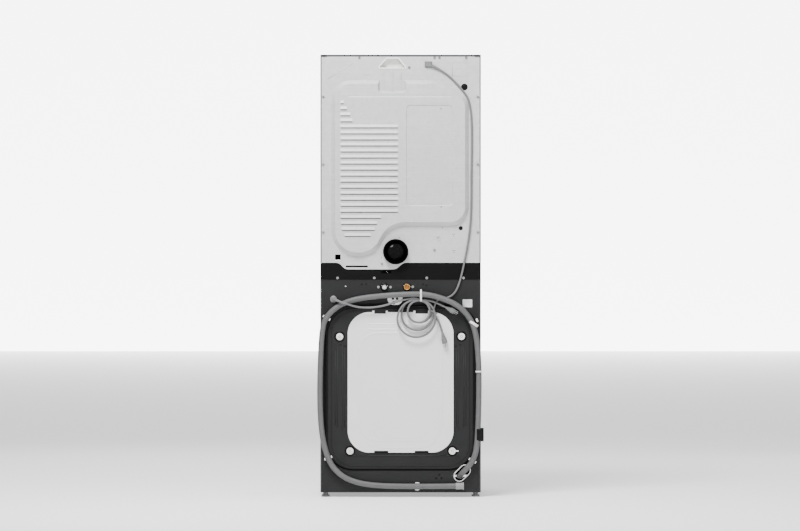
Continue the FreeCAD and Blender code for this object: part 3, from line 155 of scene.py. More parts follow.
def galvanised(name, base):
    """Bright galvanised sheet: faint spangle, rolling streaks and handling marks, with its edges lightened as wear and
    a painted highlight.
    """
    material, nodes, shader = new_material(name, base, 0.42, 0.12)
    spangle = nodes.new("ShaderNodeTexVoronoi")
    spangle.inputs["Scale"].default_value = 1.0
    link(material, place(material, 70), spangle.inputs["Vector"])
    streak = noise(material, (6, 6, 260), 4)
    both = nodes.new("ShaderNodeMath")
    both.operation = "MULTIPLY_ADD"
    both.inputs[1].default_value = 0.45
    link(material, spangle.outputs["Color"], both.inputs[0])
    link(material, streak, both.inputs[2])
    colour = tones(material, spread(material, both.outputs["Value"], 0, 1, 0.35, 1.05),
                   shade(base, 0.90), shade(base, 1.07))
    # Pointy rims lighter: wear and a painted highlight.
    link(material, edge_wear_and_highlight(material, colour, shade(base, 1.12), 0.5), shader.inputs["Base Color"])
    link(material, spread(material, both.outputs["Value"], 0.36, 0.52, 0.35, 1.0), shader.inputs["Roughness"])
    bump(material, shader, noise(material, 420, 3), 0.06, 0.0008)
    return material


def moulded(name, base, roughness=0.45, grain=900, relief=0.08, variation=0.06, edge=1.15, gloss=0.4):
    """Moulded plastic: fine spark-eroded texture, a slightly uneven tone, and edges lightened as wear and a painted
    highlight.
    """
    material, _, shader = new_material(name, base, roughness)
    shader.inputs["Specular IOR Level"].default_value = gloss
    colour = tones(material, spread(material, noise(material, 25, 4), 0, 1),
                   shade(base, 1 - variation), shade(base, 1 + variation))
    link(material, edge_wear_and_highlight(material, colour, shade(base, edge), 0.5), shader.inputs["Base Color"])
    uneven = spread(material, noise(material, 30, 2), roughness - 0.03, roughness + 0.04)
    link(material, uneven, shader.inputs["Roughness"])
    bump(material, shader, noise(material, grain, 2), relief, 0.0004)
    return material


def metal(name, base, roughness=0.3, stretch=(40, 40, 900), variation=0.10, relief=0.05):
    """Bare metal with a directional brushing."""
    material, _, shader = new_material(name, base, roughness, 1.0)
    brushed = noise(material, stretch, 4)
    colour = tones(material, spread(material, brushed, 0, 1), shade(base, 1 - variation), shade(base, 1 + variation))
    link(material, colour, shader.inputs["Base Color"])
    link(material, spread(material, brushed, roughness - 0.08, roughness + 0.12), shader.inputs["Roughness"])
    bump(material, shader, brushed, relief, 0.0003)
    return material


def clear_glass(name, base, roughness=0.03, alpha=0.35):
    """Tempered glass with faint smears."""
    material, _, shader = new_material(name, base, roughness)
    shader.inputs["Transmission Weight"].default_value = 0.85
    shader.inputs["IOR"].default_value = 1.5
    shader.inputs["Alpha"].default_value = alpha + 0.45
    link(material, spread(material, noise(material, 14, 5), roughness, roughness + 0.09), shader.inputs["Roughness"])
    link(material, tones(material, noise(material, 6, 3), shade(base, 0.9), base), shader.inputs["Base Color"])
    return material


MATERIALS = {
    "graphite_paint": painted("graphite paint", (0.026, 0.027, 0.029), 0.38, coat=0.1, gloss=0.3, relief=0.02,
                              variation=0.05),
    "charcoal_paint": painted("charcoal paint", (0.013, 0.0132, 0.0136), 0.50, edge=1.5, gloss=0.14),
    "black_paint": painted("black paint", (0.0028, 0.0028, 0.0029), 0.50, edge=2.2, gloss=0.06),
    "galvanised": galvanised("pressed galvanised sheet", (0.50, 0.50, 0.508)),
    "white_paint": painted("white enamel", (0.74, 0.74, 0.735), 0.34, variation=0.02, coat=0.25, edge=1.05),
    "white_plastic": moulded("white plastic", (0.78, 0.78, 0.76), 0.40, variation=0.03),
    "grey_plastic": moulded("grey plastic", (0.135, 0.135, 0.137), 0.46),
    "black_plastic": moulded("black plastic", (0.008, 0.008, 0.009), 0.25, relief=0.01, edge=1.5, gloss=0.3),
    "silver_plastic": moulded("silver plastic", (0.22, 0.225, 0.23), 0.27, grain=2200, relief=0.02),
    "tub_plastic": moulded("tub plastic", (0.42, 0.41, 0.37), 0.55, grain=300, relief=0.15),
    "zinc": metal("zinc plate", (0.50, 0.50, 0.49), 0.30, 320, 0.12),
    "stainless": metal("satin stainless", (0.62, 0.62, 0.62), 0.28, (25, 600, 25)),
    "cast_aluminium": metal("cast aluminium", (0.56, 0.56, 0.56), 0.50, 220, 0.15, 0.25),
    "bearing_steel": metal("ground steel", (0.55, 0.55, 0.56), 0.18, (900, 20, 900)),
    "winding": metal("copper winding", (0.62, 0.26, 0.10), 0.33, (60, 1800, 60), 0.3, 0.4),
    "concrete": moulded("concrete", (0.40, 0.39, 0.36), 0.9, grain=180, relief=0.6, variation=0.18),
    "brass": metal("brass", (0.62, 0.37, 0.12), 0.32, 300, 0.15),
    "glass": clear_glass("door glass", (0.80, 0.84, 0.86)),
    "smoked_window": moulded("smoked window", (0.006, 0.007, 0.009), 0.12, relief=0.01),
    "rubber_grey": moulded("grey rubber", (0.21, 0.21, 0.215), 0.62, grain=500, relief=0.12, edge=1.3),
    "rubber_black": moulded("black rubber", (0.02, 0.02, 0.02), 0.7, grain=400, relief=0.15, edge=1.6),
    "hose_grey": moulded("grey hose", (0.088, 0.088, 0.090), 0.50, grain=700, relief=0.1, variation=0.08, edge=1.25),
    "cord_grey": moulded("grey lead sheath", (0.125, 0.125, 0.127), 0.50, grain=1500, relief=0.08, variation=0.05),
}
# Black for real fittings and also for painted shade: the louvre shadow strips, the field gap, the ring's step line and
# creases.
BLACK_FITTINGS_AND_SHADE = moulded("black fittings and painted shade", (0.004, 0.004, 0.004), 0.42, edge=1.6, gloss=0.1)
ORANGE = moulded("orange inlet seat", (0.26, 0.09, 0.014), 0.4)
COLD_WHITE = moulded("pale inlet ring", (0.62, 0.64, 0.66), 0.4)
FOIL = metal("blank rating foil", (0.80, 0.80, 0.80), 0.38, (500, 60, 60), 0.05)

for part in frame["record"]["subparts"]:
    node = NODES[part["node"]]
    node.data.materials.clear()
    node.data.materials.append(MATERIALS[part["material_slot"]])


# ---------------------------------------------------------------- camera, light, floor

CENTRE_Z = 0.989
VIEW_DISTANCE = 19.35
scene = bpy.context.scene
camera = bpy.data.objects.new("camera", bpy.data.cameras.new("camera"))
scene.collection.objects.link(camera)
camera.location = (0.0026, VIEW_DISTANCE, CENTRE_Z)
camera.rotation_euler = (math.radians(90), 0, math.radians(180))
camera.data.lens = 200
camera.data.sensor_width = 36
camera.data.clip_end = 100
scene.camera = camera

world = bpy.data.worlds.new("studio")
world.use_nodes = True
world.node_tree.nodes["Background"].inputs["Color"].default_value = (1, 1, 1, 1)
world.node_tree.nodes["Background"].inputs["Strength"].default_value = 0.42
scene.world = world


def soft_light(name, place_at, aim_at, size, watts):
    """A large square lamp aimed at a point."""
    lamp = bpy.data.lights.new(name, "AREA")
    lamp.size = size
    lamp.energy = watts
    holder = bpy.data.objects.new(name, lamp)
    scene.collection.objects.link(holder)
    holder.location = place_at
    holder.rotation_euler = (Vector(aim_at) - Vector(place_at)).to_track_quat("-Z", "Y").to_euler()


soft_light("key", (0.8, 2.4, 4.3), (0, 0.36, 1.0), 1.3, 380)
soft_light("fill", (-3.0, 4.6, 1.2), (0, 0.3, 0.9), 2.2, 70)
soft_light("front", (1.5, -4.0, 3.2), (0, -0.3, 1.0), 2.0, 60)
soft_light("front fill", (-3.0, -3.2, 1.6), (0, -0.3, 1.0), 2.0, 16)


def stage_plane(name, material, size, place_at, turn):
    """A large flat sheet of the studio, not part of the machine."""
    mesh = bpy.data.meshes.new(name)
    sheet = bmesh.new()
    bmesh.ops.create_grid(sheet, x_segments=2, y_segments=2, size=size)
    sheet.to_mesh(mesh)
    sheet.free()
    holder = bpy.data.objects.new(name, mesh)
    scene.collection.objects.link(holder)
    holder.location = place_at
    holder.rotation_euler = turn
    mesh.materials.append(material)


pale_floor = moulded("pale floor", (0.88, 0.88, 0.88), 0.8, grain=60, relief=0.02, variation=0.01)
light_up(pale_floor, (1, 1, 1), 0.5)
stage_plane("floor", pale_floor, 40, (0, 0, 0), (0, 0, 0))
bright_wall = new_material("bright wall", (0.9, 0.9, 0.9), 0.9)[0]
light_up(bright_wall, (1, 1, 1), 6)
stage_plane("backdrop", bright_wall, 8, (0, -32, 7.9), (math.radians(90), 0, 0))


# ---------------------------------------------------------------- mesh helpers

def mesh_piece(name, shape, material, body="cabinet", smooth=True):
    """A piece from a bmesh, riding on a body."""
    mesh = bpy.data.meshes.new(name)
    bmesh.ops.recalc_face_normals(shape, faces=shape.faces)
    shape.to_mesh(mesh)
    shape.free()
    for face in mesh.polygons:
        face.use_smooth = smooth
    piece = bpy.data.objects.new(name, mesh)
    scene.collection.objects.link(piece)
    mesh.materials.append(material)
    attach(piece, body)
    return piece


def loft(name, rings, material, body="cabinet", closed_ends=True, smooth=True):
    """A skin over rings of points, each ring with the same count."""
    shape = bmesh.new()
    made = [[shape.verts.new(point) for point in ring] for ring in rings]
    for low, high in zip(made, made[1:]):
        for i in range(len(low)):
            j = (i + 1) % len(low)
            shape.faces.new((low[i], low[j], high[j], high[i]))
    if closed_ends:
        shape.faces.new(made[0])
        shape.faces.new(list(reversed(made[-1])))
    return mesh_piece(name, shape, material, body, smooth)


def rounded_ring(width, height, corner, steps=5):
    """Points (u, v) round a rounded rectangle centred on nought."""
    points = []
    for quarter, (su, sv) in enumerate(((1, 1), (-1, 1), (-1, -1), (1, -1))):
        for step in range(steps):
            angle = math.radians(90 * quarter + 90 * step / (steps - 1))
            points.append((su * (width / 2 - corner) + corner * math.cos(angle),
                           sv * (height / 2 - corner) + corner * math.sin(angle)))
    return points


def pad(name, x, z, width, height, corner, y0, y1, material, tilt=0.0, crown=0.3, body="cabinet"):
    """A rounded block on the rear or front, eased at its outer edge."""
    turn = math.radians(tilt)
    ease = min(corner, abs(y1 - y0)) * crown
    outward = 1 if y1 > y0 else -1
    rings = []
    steps = ((y0, 0), (y1 - outward * ease, 0), (y1 - outward * ease * 0.3, ease * 0.7), (y1, ease * 1.6))
    for y, shrink in steps:
        ring = rounded_ring(width - 2 * shrink, height - 2 * shrink, max(corner - shrink, 0.0001))
        rings.append([(x + u * math.cos(turn) - v * math.sin(turn), y, z + u * math.sin(turn) + v * math.cos(turn))
                      for u, v in ring])
    return loft(name, rings, material, body)


def turned(name, profile, x, z, material, segments=48, body="cabinet"):
    """A (radius, y) profile turned about the line along Y through (x, z)."""
    turns = [2 * math.pi * i / segments for i in range(segments)]
    rings = [[(x + radius * math.cos(t), y, z + radius * math.sin(t)) for t in turns] for radius, y in profile]
    return loft(name, rings, material, body, closed_ends=False)


def frames_along(points):
    """A steady pair of side directions at each point of a line."""
    sides = []
    side = None
    for i in range(len(points)):
        before = points[max(i - 1, 0)]
        after = points[min(i + 1, len(points) - 1)]
        way = (after - before).normalized()
        if side is None:
            side = way.orthogonal().normalized()
        side = (side - way * side.dot(way)).normalized()
        sides.append((side, way.cross(side)))
    return sides


def skin_along(name, points, radius_at, material, segments=16, closed_ends=True, body="cabinet"):
    """A round skin along points; radius_at gives the radius at point i."""
    rings = []
    for i, (point, (side, other)) in enumerate(zip(points, frames_along(points))):
        radius = radius_at(i)
        rings.append([point + side * (radius * math.cos(2 * math.pi * k / segments))
                      + other * (radius * math.sin(2 * math.pi * k / segments)) for k in range(segments)])
    return loft(name, rings, material, body, closed_ends)


def resample(points, gap):
    """Points along a line, evenly spaced."""
    out = [points[0].copy()]
    left = gap
    for a, b in zip(points, points[1:]):
        length = (b - a).length
        walked = 0.0
        while length - walked >= left:
            walked += left
            out.append(a.lerp(b, walked / length))
            left = gap
        left -= length - walked
    return out


def nurbs_line(name, route, resolution=12):
    """A curve object of one open, smooth spline whose control points are the route's, in metres."""
    curve = bpy.data.curves.new(name, "CURVE")
    curve.dimensions = "3D"
    curve.resolution_u = resolution
    spline = curve.splines.new("NURBS")
    spline.points.add(len(route) - 1)
    for point, (x, y, z) in zip(spline.points, route):
        point.co = (x * MM, y * MM, z * MM, 1)
    spline.order_u = 3
    spline.use_endpoint_u = True
    line = bpy.data.objects.new(name, curve)
    scene.collection.objects.link(line)
    return line


def line_points(line):
    """The points of a curve's own line, read with no bevel."""
    mesh = bpy.data.meshes.new_from_object(line)
    points = [vertex.co.copy() for vertex in mesh.vertices]
    bpy.data.meshes.remove(mesh)
    return points


def line_length(points):
    """The length along points."""
    return sum((b - a).length for a, b in zip(points, points[1:]))


def bundle_tie(name, x, y, z, depth, height, width, material, tilt=0.0):
    """A cable tie: a flat band closed round a bundle that runs across it."""
    turn = math.radians(tilt)
    shape = bmesh.new()
    ring = rounded_ring(depth, height, min(depth, height) * 0.42, 8)
    rings = []
    for side, swell in ((-1, 0.0), (-1, 0.0011), (1, 0.0011), (1, 0.0)):
        rings.append([])
        for u, v in ring:
            reach = Vector((side * width / 2, u * (1 + swell / depth * 2), v * (1 + swell / height * 2)))
            rings[-1].append(Vector((x, y, z)) + Matrix.Rotation(turn, 3, "Y") @ reach)
    loops = [[shape.verts.new(p) for p in points] for points in rings]
    for low, high in zip(loops, loops[1:] + loops[:1]):
        for i in range(len(low)):
            j = (i + 1) % len(low)
            shape.faces.new((low[i], low[j], high[j], high[i]))
    return mesh_piece(name, shape, material)


# ---------------------------------------------------------------- rear details

DRYER_Y = 0.362
PLATEAU_Y = 0.380
LOUVRE_LEFT = 0.257
LOUVRE_PITCH = 0.02576
LOUVRE_TOP_Z = 1.5779
SHORT_LOUVRE_TOP_Z = 1.6809
WASHER_Y = 0.358


def flat_run(name, points, width, thick, y, material, body="cabinet"):
    """A flat strip on the rear, following (x, z) points."""
    rings = []
    for i, (x, z) in enumerate(points):
        before = points[max(i - 1, 0)]
        after = points[min(i + 1, len(points) - 1)]
        way = Vector((after[0] - before[0], 0, after[1] - before[1])).normalized()
        side = Vector((way.z, 0, -way.x)) * (width / 2)
        centre = Vector((x, y, z))
        out = Vector((0, thick, 0))
        rings.append([centre - side, centre + side, centre + side * 0.8 + out, centre - side * 0.8 + out])
    return loft(name, rings, material, body)


def dots(name, spots, y, material, body="cabinet"):
    """Low round buttons: each spot is (x, z, radius, height)."""
    shape = bmesh.new()
    for x, z, radius, height in spots:
        ring_low = []
        ring_mid = []
        for i in range(20):
            angle = 2 * math.pi * i / 20
            ring_low.append(shape.verts.new((x + radius * math.cos(angle), y, z + radius * math.sin(angle))))
            ring_mid.append(shape.verts.new((x + radius * 0.8 * math.cos(angle), y + height,
                                             z + radius * 0.8 * math.sin(angle))))
        for i in range(20):
            j = (i + 1) % 20
            shape.faces.new((ring_low[i], ring_low[j], ring_mid[j], ring_mid[i]))
        shape.faces.new(ring_mid)
        shape.faces.new(list(reversed(ring_low)))
    return mesh_piece(name, shape, material, body)


def corner_clips():
    """Black clips where the dryer's rear panel meets the top."""
    for side in (-1, 1):
        pad("corner_clip_%d" % (side + 1), side * 0.3255, 1.8858, 0.0190, 0.0078, 0.0015,
            DRYER_Y, DRYER_Y + 0.0040, BLACK_FITTINGS_AND_SHADE)


def hole_plugs():
    """Press-in plugs and the dark punched holes of the dryer's rear panel."""
    turned("panel_plug", [(0.0001, 0.3630), (0.0092, 0.3630), (0.0102, 0.3625), (0.0134, 0.3631), (0.0146, 0.3621),
                          (0.0146, 0.3619)], -0.2726, 1.7518, BLACK_FITTINGS_AND_SHADE)
    turned("drain_plug", [(0.0001, 0.3640), (0.0060, 0.3640), (0.0084, 0.3632), (0.0088, 0.3619)],
           -0.2570, 1.1490, BLACK_FITTINGS_AND_SHADE)
    edge = [(-0.1456, 1.8818), (-0.1650, 1.8818), (0.1760, 1.8822), (-0.2790, 1.8818), (-0.0372, 1.8352)]
    low = [(-0.2230, 1.1220), (-0.2300, 1.1215), (-0.2265, 1.1150), (-0.2240, 1.0530), (-0.2312, 1.0525),
           (-0.2275, 1.0455), (-0.1440, 1.0555), (0.0810, 1.0220), (-0.1790, 1.1495), (0.0050, 1.1080)]
    dots("punched_marks", [(x, z, 0.0019, 0.0003) for x, z in edge + low], DRYER_Y + 0.0001, BLACK_FITTINGS_AND_SHADE)


def earth_stud():
    """Earth screw in its pressed ring."""
    turned("earth_ring", [(0.0118, DRYER_Y), (0.0112, DRYER_Y + 0.0012), (0.0085, DRYER_Y + 0.0012),
                          (0.0080, DRYER_Y - 0.0002)], -0.1612, 1.1075, MATERIALS["galvanised"])
    turned("earth_screw", [(0.0001, DRYER_Y + 0.0032), (0.0035, DRYER_Y + 0.0030), (0.0052, DRYER_Y + 0.0018),
                           (0.0054, DRYER_Y)], -0.1612, 1.1075, MATERIALS["zinc"])


def panel_pressings():
    """Low embossed lines of the dryer's rear panel."""
    frame_points = [(-0.221, 1.800), (-0.221, 1.864), (-0.285, 1.864), (-0.285, 1.800), (-0.221, 1.800)]
    flat_run("label_recess_rim", frame_points, 0.0026, 0.0007, DRYER_Y, MATERIALS["galvanised"])
    flat_run("corner_crease", [(0.312, 1.786), (0.203, 1.854)], 0.0034, 0.0008, DRYER_Y, MATERIALS["galvanised"])
    for side in (0.1560, 0.1440):
        flat_run("tab_mark_%d" % round(side * 1000), [(side, 1.806), (side - 0.010, 1.806)], 0.0060, 0.0008,
                 DRYER_Y, MATERIALS["galvanised"])


def louvre_shadow_strips():
    """Painted shadow: a black strip under the lower edge of every louvre, where the hood casts its shade."""
    rows = [(LOUVRE_LEFT - length, LOUVRE_LEFT, SHORT_LOUVRE_TOP_Z - LOUVRE_PITCH * i)
            for i, length in enumerate((0.015, 0.028, 0.042, 0.051))]
    rows += [(0.011, LOUVRE_LEFT, LOUVRE_TOP_Z - LOUVRE_PITCH * i) for i in range(15)]
    rows += [(right, left, LOUVRE_TOP_Z - LOUVRE_PITCH * (15 + i)) for i, (right, left) in
             enumerate(((0.083, LOUVRE_LEFT), (0.100, 0.255), (0.110, 0.252), (0.127, 0.240)))]
    shape = bmesh.new()
    for right, left, z in rows:
        made = bmesh.ops.create_cube(shape, size=1.0)["verts"]
        middle = Vector(((left + right) / 2, PLATEAU_Y, z - 0.0011))
        scale = Matrix.Diagonal((left - right - 0.002, 0.0006, 0.0026, 1))
        bmesh.ops.transform(shape, matrix=Matrix.Translation(middle) @ scale, verts=made)
    mesh_piece("louvre_shadow_strips", shape, BLACK_FITTINGS_AND_SHADE, smooth=False)


def rating_label():
    """Blank rating plate beside the hose."""
    pad("blank_plate", -0.2852, 0.8275, 0.0405, 0.0330, 0.0015, WASHER_Y, WASHER_Y + 0.0006, FOIL, crown=0.1)


def inlet(name, x, z, collar, face):
    """Threaded hose inlet with its coloured seat and filter disc."""
    low = WASHER_Y
    tip = 0.3730
    seat = turned(name + "_flange", [(0.0176, low + 0.0001), (0.0176, low + 0.0014), (0.0136, low + 0.0017)],
                  x, z, BLACK_FITTINGS_AND_SHADE)
    profile = [(0.0128, low + 0.0010)]
    for turn in range(5):
        start = low + 0.0030 + 0.0022 * turn
        profile += [(0.0132, start), (0.0122, start + 0.0011)]
    profile += [(0.0130, tip - 0.0006), (0.0122, tip), (0.0104, tip), (0.0098, tip - 0.0008),
                (0.0098, tip - 0.0046)]
    thread = turned(name + "_thread", profile, x, z, collar)
    disc = turned(name + "_filter", [(0.0099, tip - 0.0046), (0.0070, tip - 0.0042), (0.0032, tip - 0.0030),
                                     (0.0001, tip - 0.0026)], x, z, face)
    for piece in (seat, thread, disc):
        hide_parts("inlet_valves")


def foot_details():
    """Hexagon lock nuts on the levelling feet."""
    for i, (x, y) in enumerate(((-0.321, 0.322), (0.321, 0.322), (-0.256, -0.300), (0.256, -0.300))):
        rings = []
        for z, grow in ((0.0136, 0.96), (0.0142, 1.0), (0.0178, 1.0), (0.0184, 0.96)):
            reach = 0.0105 * grow
            rings.append([(x + reach * math.cos(math.radians(60 * k)), y + reach * math.sin(math.radians(60 * k)), z)
                          for k in range(6)])
        loft("foot_nut_%d" % i, rings, MATERIALS["zinc"], smooth=False)


# ---------------------------------------------------------------- washer's rear

RING_Y = 0.350
COVER_Y = 0.353
EXIT_RADIUS = 0.0228


def rectangle_path(x0, x1, z0, z1, corner, steps=14):
    """Closed (x, z) points round a rectangle with rounded corners."""
    centre_x, centre_z = (x0 + x1) / 2, (z0 + z1) / 2
    ring = rounded_ring(x1 - x0, z1 - z0, corner, steps)
    return [(centre_x + u, centre_z + v) for u, v in ring]


def closed_strip(name, path, width, y0, y1, material, slope=0.3):
    """A flat closed strip along a path, its outer face narrowed a little."""
    shape = bmesh.new()
    rows = []
    count = len(path)
    inner = width / 2 * (1 - slope)
    for offset, y in ((-width / 2, y0), (-inner, y1), (inner, y1), (width / 2, y0)):
        row = []
        for i, (x, z) in enumerate(path):
            before, after = path[i - 1], path[(i + 1) % count]
            way = Vector((after[0] - before[0], 0, after[1] - before[1])).normalized()
            row.append(shape.verts.new((x + way.z * offset, y, z - way.x * offset)))
        rows.append(row)
    for low, high in zip(rows, rows[1:] + rows[:1]):
        for i in range(count):
            j = (i + 1) % count
            shape.faces.new((low[i], low[j], high[j], high[i]))
    return mesh_piece(name, shape, material)


def field_gap_shadow_seal():
    """Black seal in the gap between the dished field and the cover ring, standing in for the groove's shade as painted
    shadow, and a black line painting the shade of the ring's lower step.
    """
    closed_strip("field_gap_shadow_seal", rectangle_path(-0.3195, 0.3195, 0.1170, 0.8155, 0.1165),
                 0.0125, 0.3420, 0.3485, BLACK_FITTINGS_AND_SHADE)
    closed_strip("lower_step_shadow_line", rectangle_path(-0.2950, 0.2950, 0.1290, 0.7950, 0.0980),
                 0.0016, RING_Y, RING_Y + 0.0005, BLACK_FITTINGS_AND_SHADE)


def ring_pressings():
    """Low ridges pressed along both sides of the cover ring, and black lines painting the shade in its creases."""
    for side in (-1, 1):
        for k, (x, low, high) in enumerate(((0.2390, 0.300, 0.640), (0.2475, 0.290, 0.655),
                                            (0.2700, 0.300, 0.640), (0.2785, 0.305, 0.630))):
            flat_run("ring_ridge_%d_%d" % (side + 1, k), [(side * x, low), (side * x, high)],
                     0.0032, 0.0009, RING_Y, MATERIALS["charcoal_paint"])
        # Painted shade: black lines along the ring's creases.
        for k, (a, b) in enumerate((((0.222, 0.640), (0.262, 0.652)), ((0.196, 0.178), (0.130, 0.176)))):
            flat_run("ring_crease_shade_%d_%d" % (side + 1, k), [(side * a[0], a[1]), (side * b[0], b[1])],
                     0.0026, 0.0008, RING_Y, BLACK_FITTINGS_AND_SHADE)


def cap_surrounds():
    """Dark rubber round each transport bolt cap, and the centre mark of each cap."""
    for k, (x, z) in enumerate(((0.2606, 0.6846), (-0.2602, 0.6855), (0.2162, 0.1957), (-0.2209, 0.1959))):
        turned("cap_surround_%d" % k, [(0.0152, RING_Y + 0.0012), (0.0168, RING_Y + 0.0018),
                                       (0.0212, RING_Y + 0.0010), (0.0232, RING_Y + 0.0001)], x, z, BLACK_FITTINGS_AND_SHADE)
        turned("cap_dimple_%d" % k, [(0.0036, RING_Y + 0.0025), (0.0042, RING_Y + 0.0034),
                                     (0.0052, RING_Y + 0.0030)], x, z, MATERIALS["grey_plastic"])
    pad("cap_tab", -0.2400, 0.1959, 0.0160, 0.0056, 0.0024, RING_Y, RING_Y + 0.0024, MATERIALS["white_plastic"])


def cover_pressings():
    """Faint steps of the white cover near its foot and the dark tabs along its bottom edge."""
    for k, (half, low, corner) in enumerate(((0.160, 0.209, 0.074), (0.117, 0.252, 0.040))):
        path = [(-half, low + corner + 0.012)]
        for step in range(9):
            angle = math.radians(90 * step / 8)
            path.append((-half + corner * (1 - math.cos(angle)), low + corner * (1 - math.sin(angle))))
        path += [(-x, z) for x, z in reversed(path)]
        flat_run("cover_step_%d" % k, path, 0.0036, 0.0006, COVER_Y, MATERIALS["white_paint"])
    for k, x in enumerate((0.083, -0.090)):
        pad("cover_tab_%d" % k, x, 0.1925, 0.060, 0.0085, 0.002, COVER_Y - 0.001, COVER_Y + 0.0012, BLACK_FITTINGS_AND_SHADE)


def hose_fittings():
    """V clip, tie and strap on the hose, the rim of its exit and the drip holes."""
    white = MATERIALS["white_plastic"]
    v_clip = bundle_tie("hose_v_clip", -0.3130, 0.3725, 0.7400, 0.0285, 0.0090, 0.0400, white, -32)
    pad("hose_clip_hook", -0.3262, 0.7555, 0.0080, 0.0150, 0.0030, 0.3700, 0.3860, white, tilt=-24)
    thin_tie = bundle_tie("hose_thin_tie", -0.3350, 0.3715, 0.5360, 0.0272, 0.0036, 0.0290, white)
    strap = bundle_tie("hose_strap", -0.3400, 0.3700, 0.2670, 0.0290, 0.0560, 0.0300, BLACK_FITTINGS_AND_SHADE)
    pad("strap_anchor", -0.3190, 0.2670, 0.0180, 0.0560, 0.0030, WASHER_Y, WASHER_Y + 0.0030, BLACK_FITTINGS_AND_SHADE)
    ring = []
    for x, z, start in ((-0.2750, 0.1138, 48), (-0.2510, 0.0895, 228)):
        for step in range(13):
            angle = math.radians(start + 180 * step / 12)
            ring.append((x + EXIT_RADIUS * math.cos(angle), z + EXIT_RADIUS * math.sin(angle)))
    closed_strip("hose_exit_rim", ring, 0.0036, WASHER_Y, WASHER_Y + 0.0022, white)
    drips = ((-0.1525, 0.0805), (-0.1747, 0.0805), (-0.1653, 0.0940))
    pilots = ((0.166, 0.909), (0.147, 0.909), (-0.096, 0.909), (-0.110, 0.904))
    dots("drip_holes", [(x, z, 0.0042, 0.0003) for x, z in drips], WASHER_Y + 0.0001, BLACK_FITTINGS_AND_SHADE)
    dots("pilot_marks", [(x, z, 0.0034, 0.0003) for x, z in pilots], WASHER_Y + 0.0001, BLACK_FITTINGS_AND_SHADE)
    pad("service_dot", 0.2350, 0.9000, 0.0060, 0.0034, 0.0015, WASHER_Y, WASHER_Y + 0.0008, COLD_WHITE)
    return [v_clip, thin_tie, strap]


# ---------------------------------------------------------------- drain hose

HOSE_DIAMETER = 0.025
HOSE_RIB = 0.0055
HOSE_ROUTE = [
    (-249, 343, 86), (-268, 364, 107), (-282, 371, 122), (-298, 371, 140), (-316, 371, 171), (-326, 371, 222),
    (-331, 371, 300), (-334, 371, 410), (-335, 371, 520), (-331, 371, 622), (-321, 372, 700), (-302, 374, 755),
    (-268, 380, 799), (-226, 383, 829), (-170, 384, 852), (-112, 383, 866), (-50, 378.5, 867), (20, 375, 864),
    (95, 373, 858), (165, 371, 850), (225, 371, 836), (272, 371, 812), (306, 371, 783), (327, 371, 748),
    (336, 371, 700), (341, 371, 620), (344, 371, 520), (345, 371, 420), (342, 371, 330), (335, 371, 262),
    (322, 371, 200), (296, 371, 134), (250, 371, 88), (190, 371, 62), (115, 371, 50), (35, 371, 46.6),
    (-50, 371, 45.6), (-130, 371.6, 45.9), (-195, 373.4, 46.6), (-236, 375.2, 47.4)]


def drain_hose():
    """Corrugated hose round the washer's rear, from its exit to the cuff on its free end."""
    guide = nurbs_line("hose_guide", HOSE_ROUTE, 16)
    points = resample(line_points(guide), HOSE_RIB / 4)
    length = line_length(line_points(guide))
    bpy.data.objects.remove(guide)
    last = len(points) - 1
    plain = 0.03

    def radius_at(i):
        rib = 0.5 - 0.5 * math.cos(2 * math.pi * i / 4)
        if min(i, last - i) * HOSE_RIB / 4 < plain:
            return HOSE_DIAMETER / 2 - 0.0004
        return HOSE_DIAMETER / 2 - 0.0009 + 0.0009 * rib

    hose = skin_along("drain_hose_skin", points, radius_at, MATERIALS["hose_grey"], segments=20)
    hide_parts("drain_hose")
    path = [tuple(p) for p in resample(points, 0.02)] + [tuple(points[-1])]
    hose_fittings()


drain_hose()


# ---------------------------------------------------------------- power leads

LEAD_DIAMETER = 0.0086
PLUG_WIDTH = 0.024
PLUG_DEPTH = 0.021
# A plug's cross sections: share of its length, and width, depth and corner as shares of its size.
PLUG_SECTIONS = [
    (0.05, 0.50, 0.55, 0.22), (0.18, 0.66, 0.66, 0.26), (0.22, 0.60, 0.60, 0.24), (0.32, 0.76, 0.74, 0.28),
    (0.36, 0.70, 0.68, 0.26), (0.50, 0.92, 0.86, 0.30), (0.80, 1.0, 0.92, 0.32), (0.97, 1.0, 0.92, 0.32),
    (1, 0.94, 0.86, 0.30)]
TURN_POINTS = 14
DRYER_LEAD_ROUTE = [
    (-131, 366.6, 1843), (-152, 367.4, 1834), (-178, 367.4, 1819), (-206, 367.4, 1799), (-234, 367.4, 1772),
    (-262, 367.4, 1741), (-287, 367.4, 1708), (-298, 367.4, 1664), (-303, 367.4, 1610), (-304.5, 367.4, 1530),
    (-303.5, 367.4, 1450), (-302, 367.4, 1370), (-302.5, 367.4, 1290), (-301, 367.4, 1210), (-296, 367.4, 1140),
    (-286, 367.6, 1072), (-274, 367.4, 1010), (-262, 365.8, 955), (-249, 364.2, 908), (-232, 363.4, 871),
    (-204, 363.4, 850), (-178, 363.6, 851), (-157, 363.8, 842), (-146, 364, 822)]
WASHER_LEAD_ROUTE = [
    (284, 364, 844), (277, 377, 841.5), (267, 388, 838), (253, 394.6, 833), (234, 395, 826.5), (215, 389.6, 820),
    (192, 380.6, 813), (160, 375.2, 809), (120, 374.4, 809.4), (78, 374.2, 815.5), (35, 374.2, 828),
    (-8, 374.2, 841.6), (-48, 374.3, 849.6)]
WASHER_PLUG_ROUTE = [
    (-100, 374.2, 842), (-126, 374, 839), (-152, 374, 830), (-176, 374, 819), (-197, 374, 808.5)]
DRYER_PLUG_ROUTE = [
    (-136, 364.4, 788), (-151, 365.6, 770), (-165, 367, 745), (-174, 368, 720), (-179.5, 368.4, 697)]
COIL_X = -77
INNER_TURN = 48.0
TIE_TOP = 849.0
TURN_STEP = 8.8


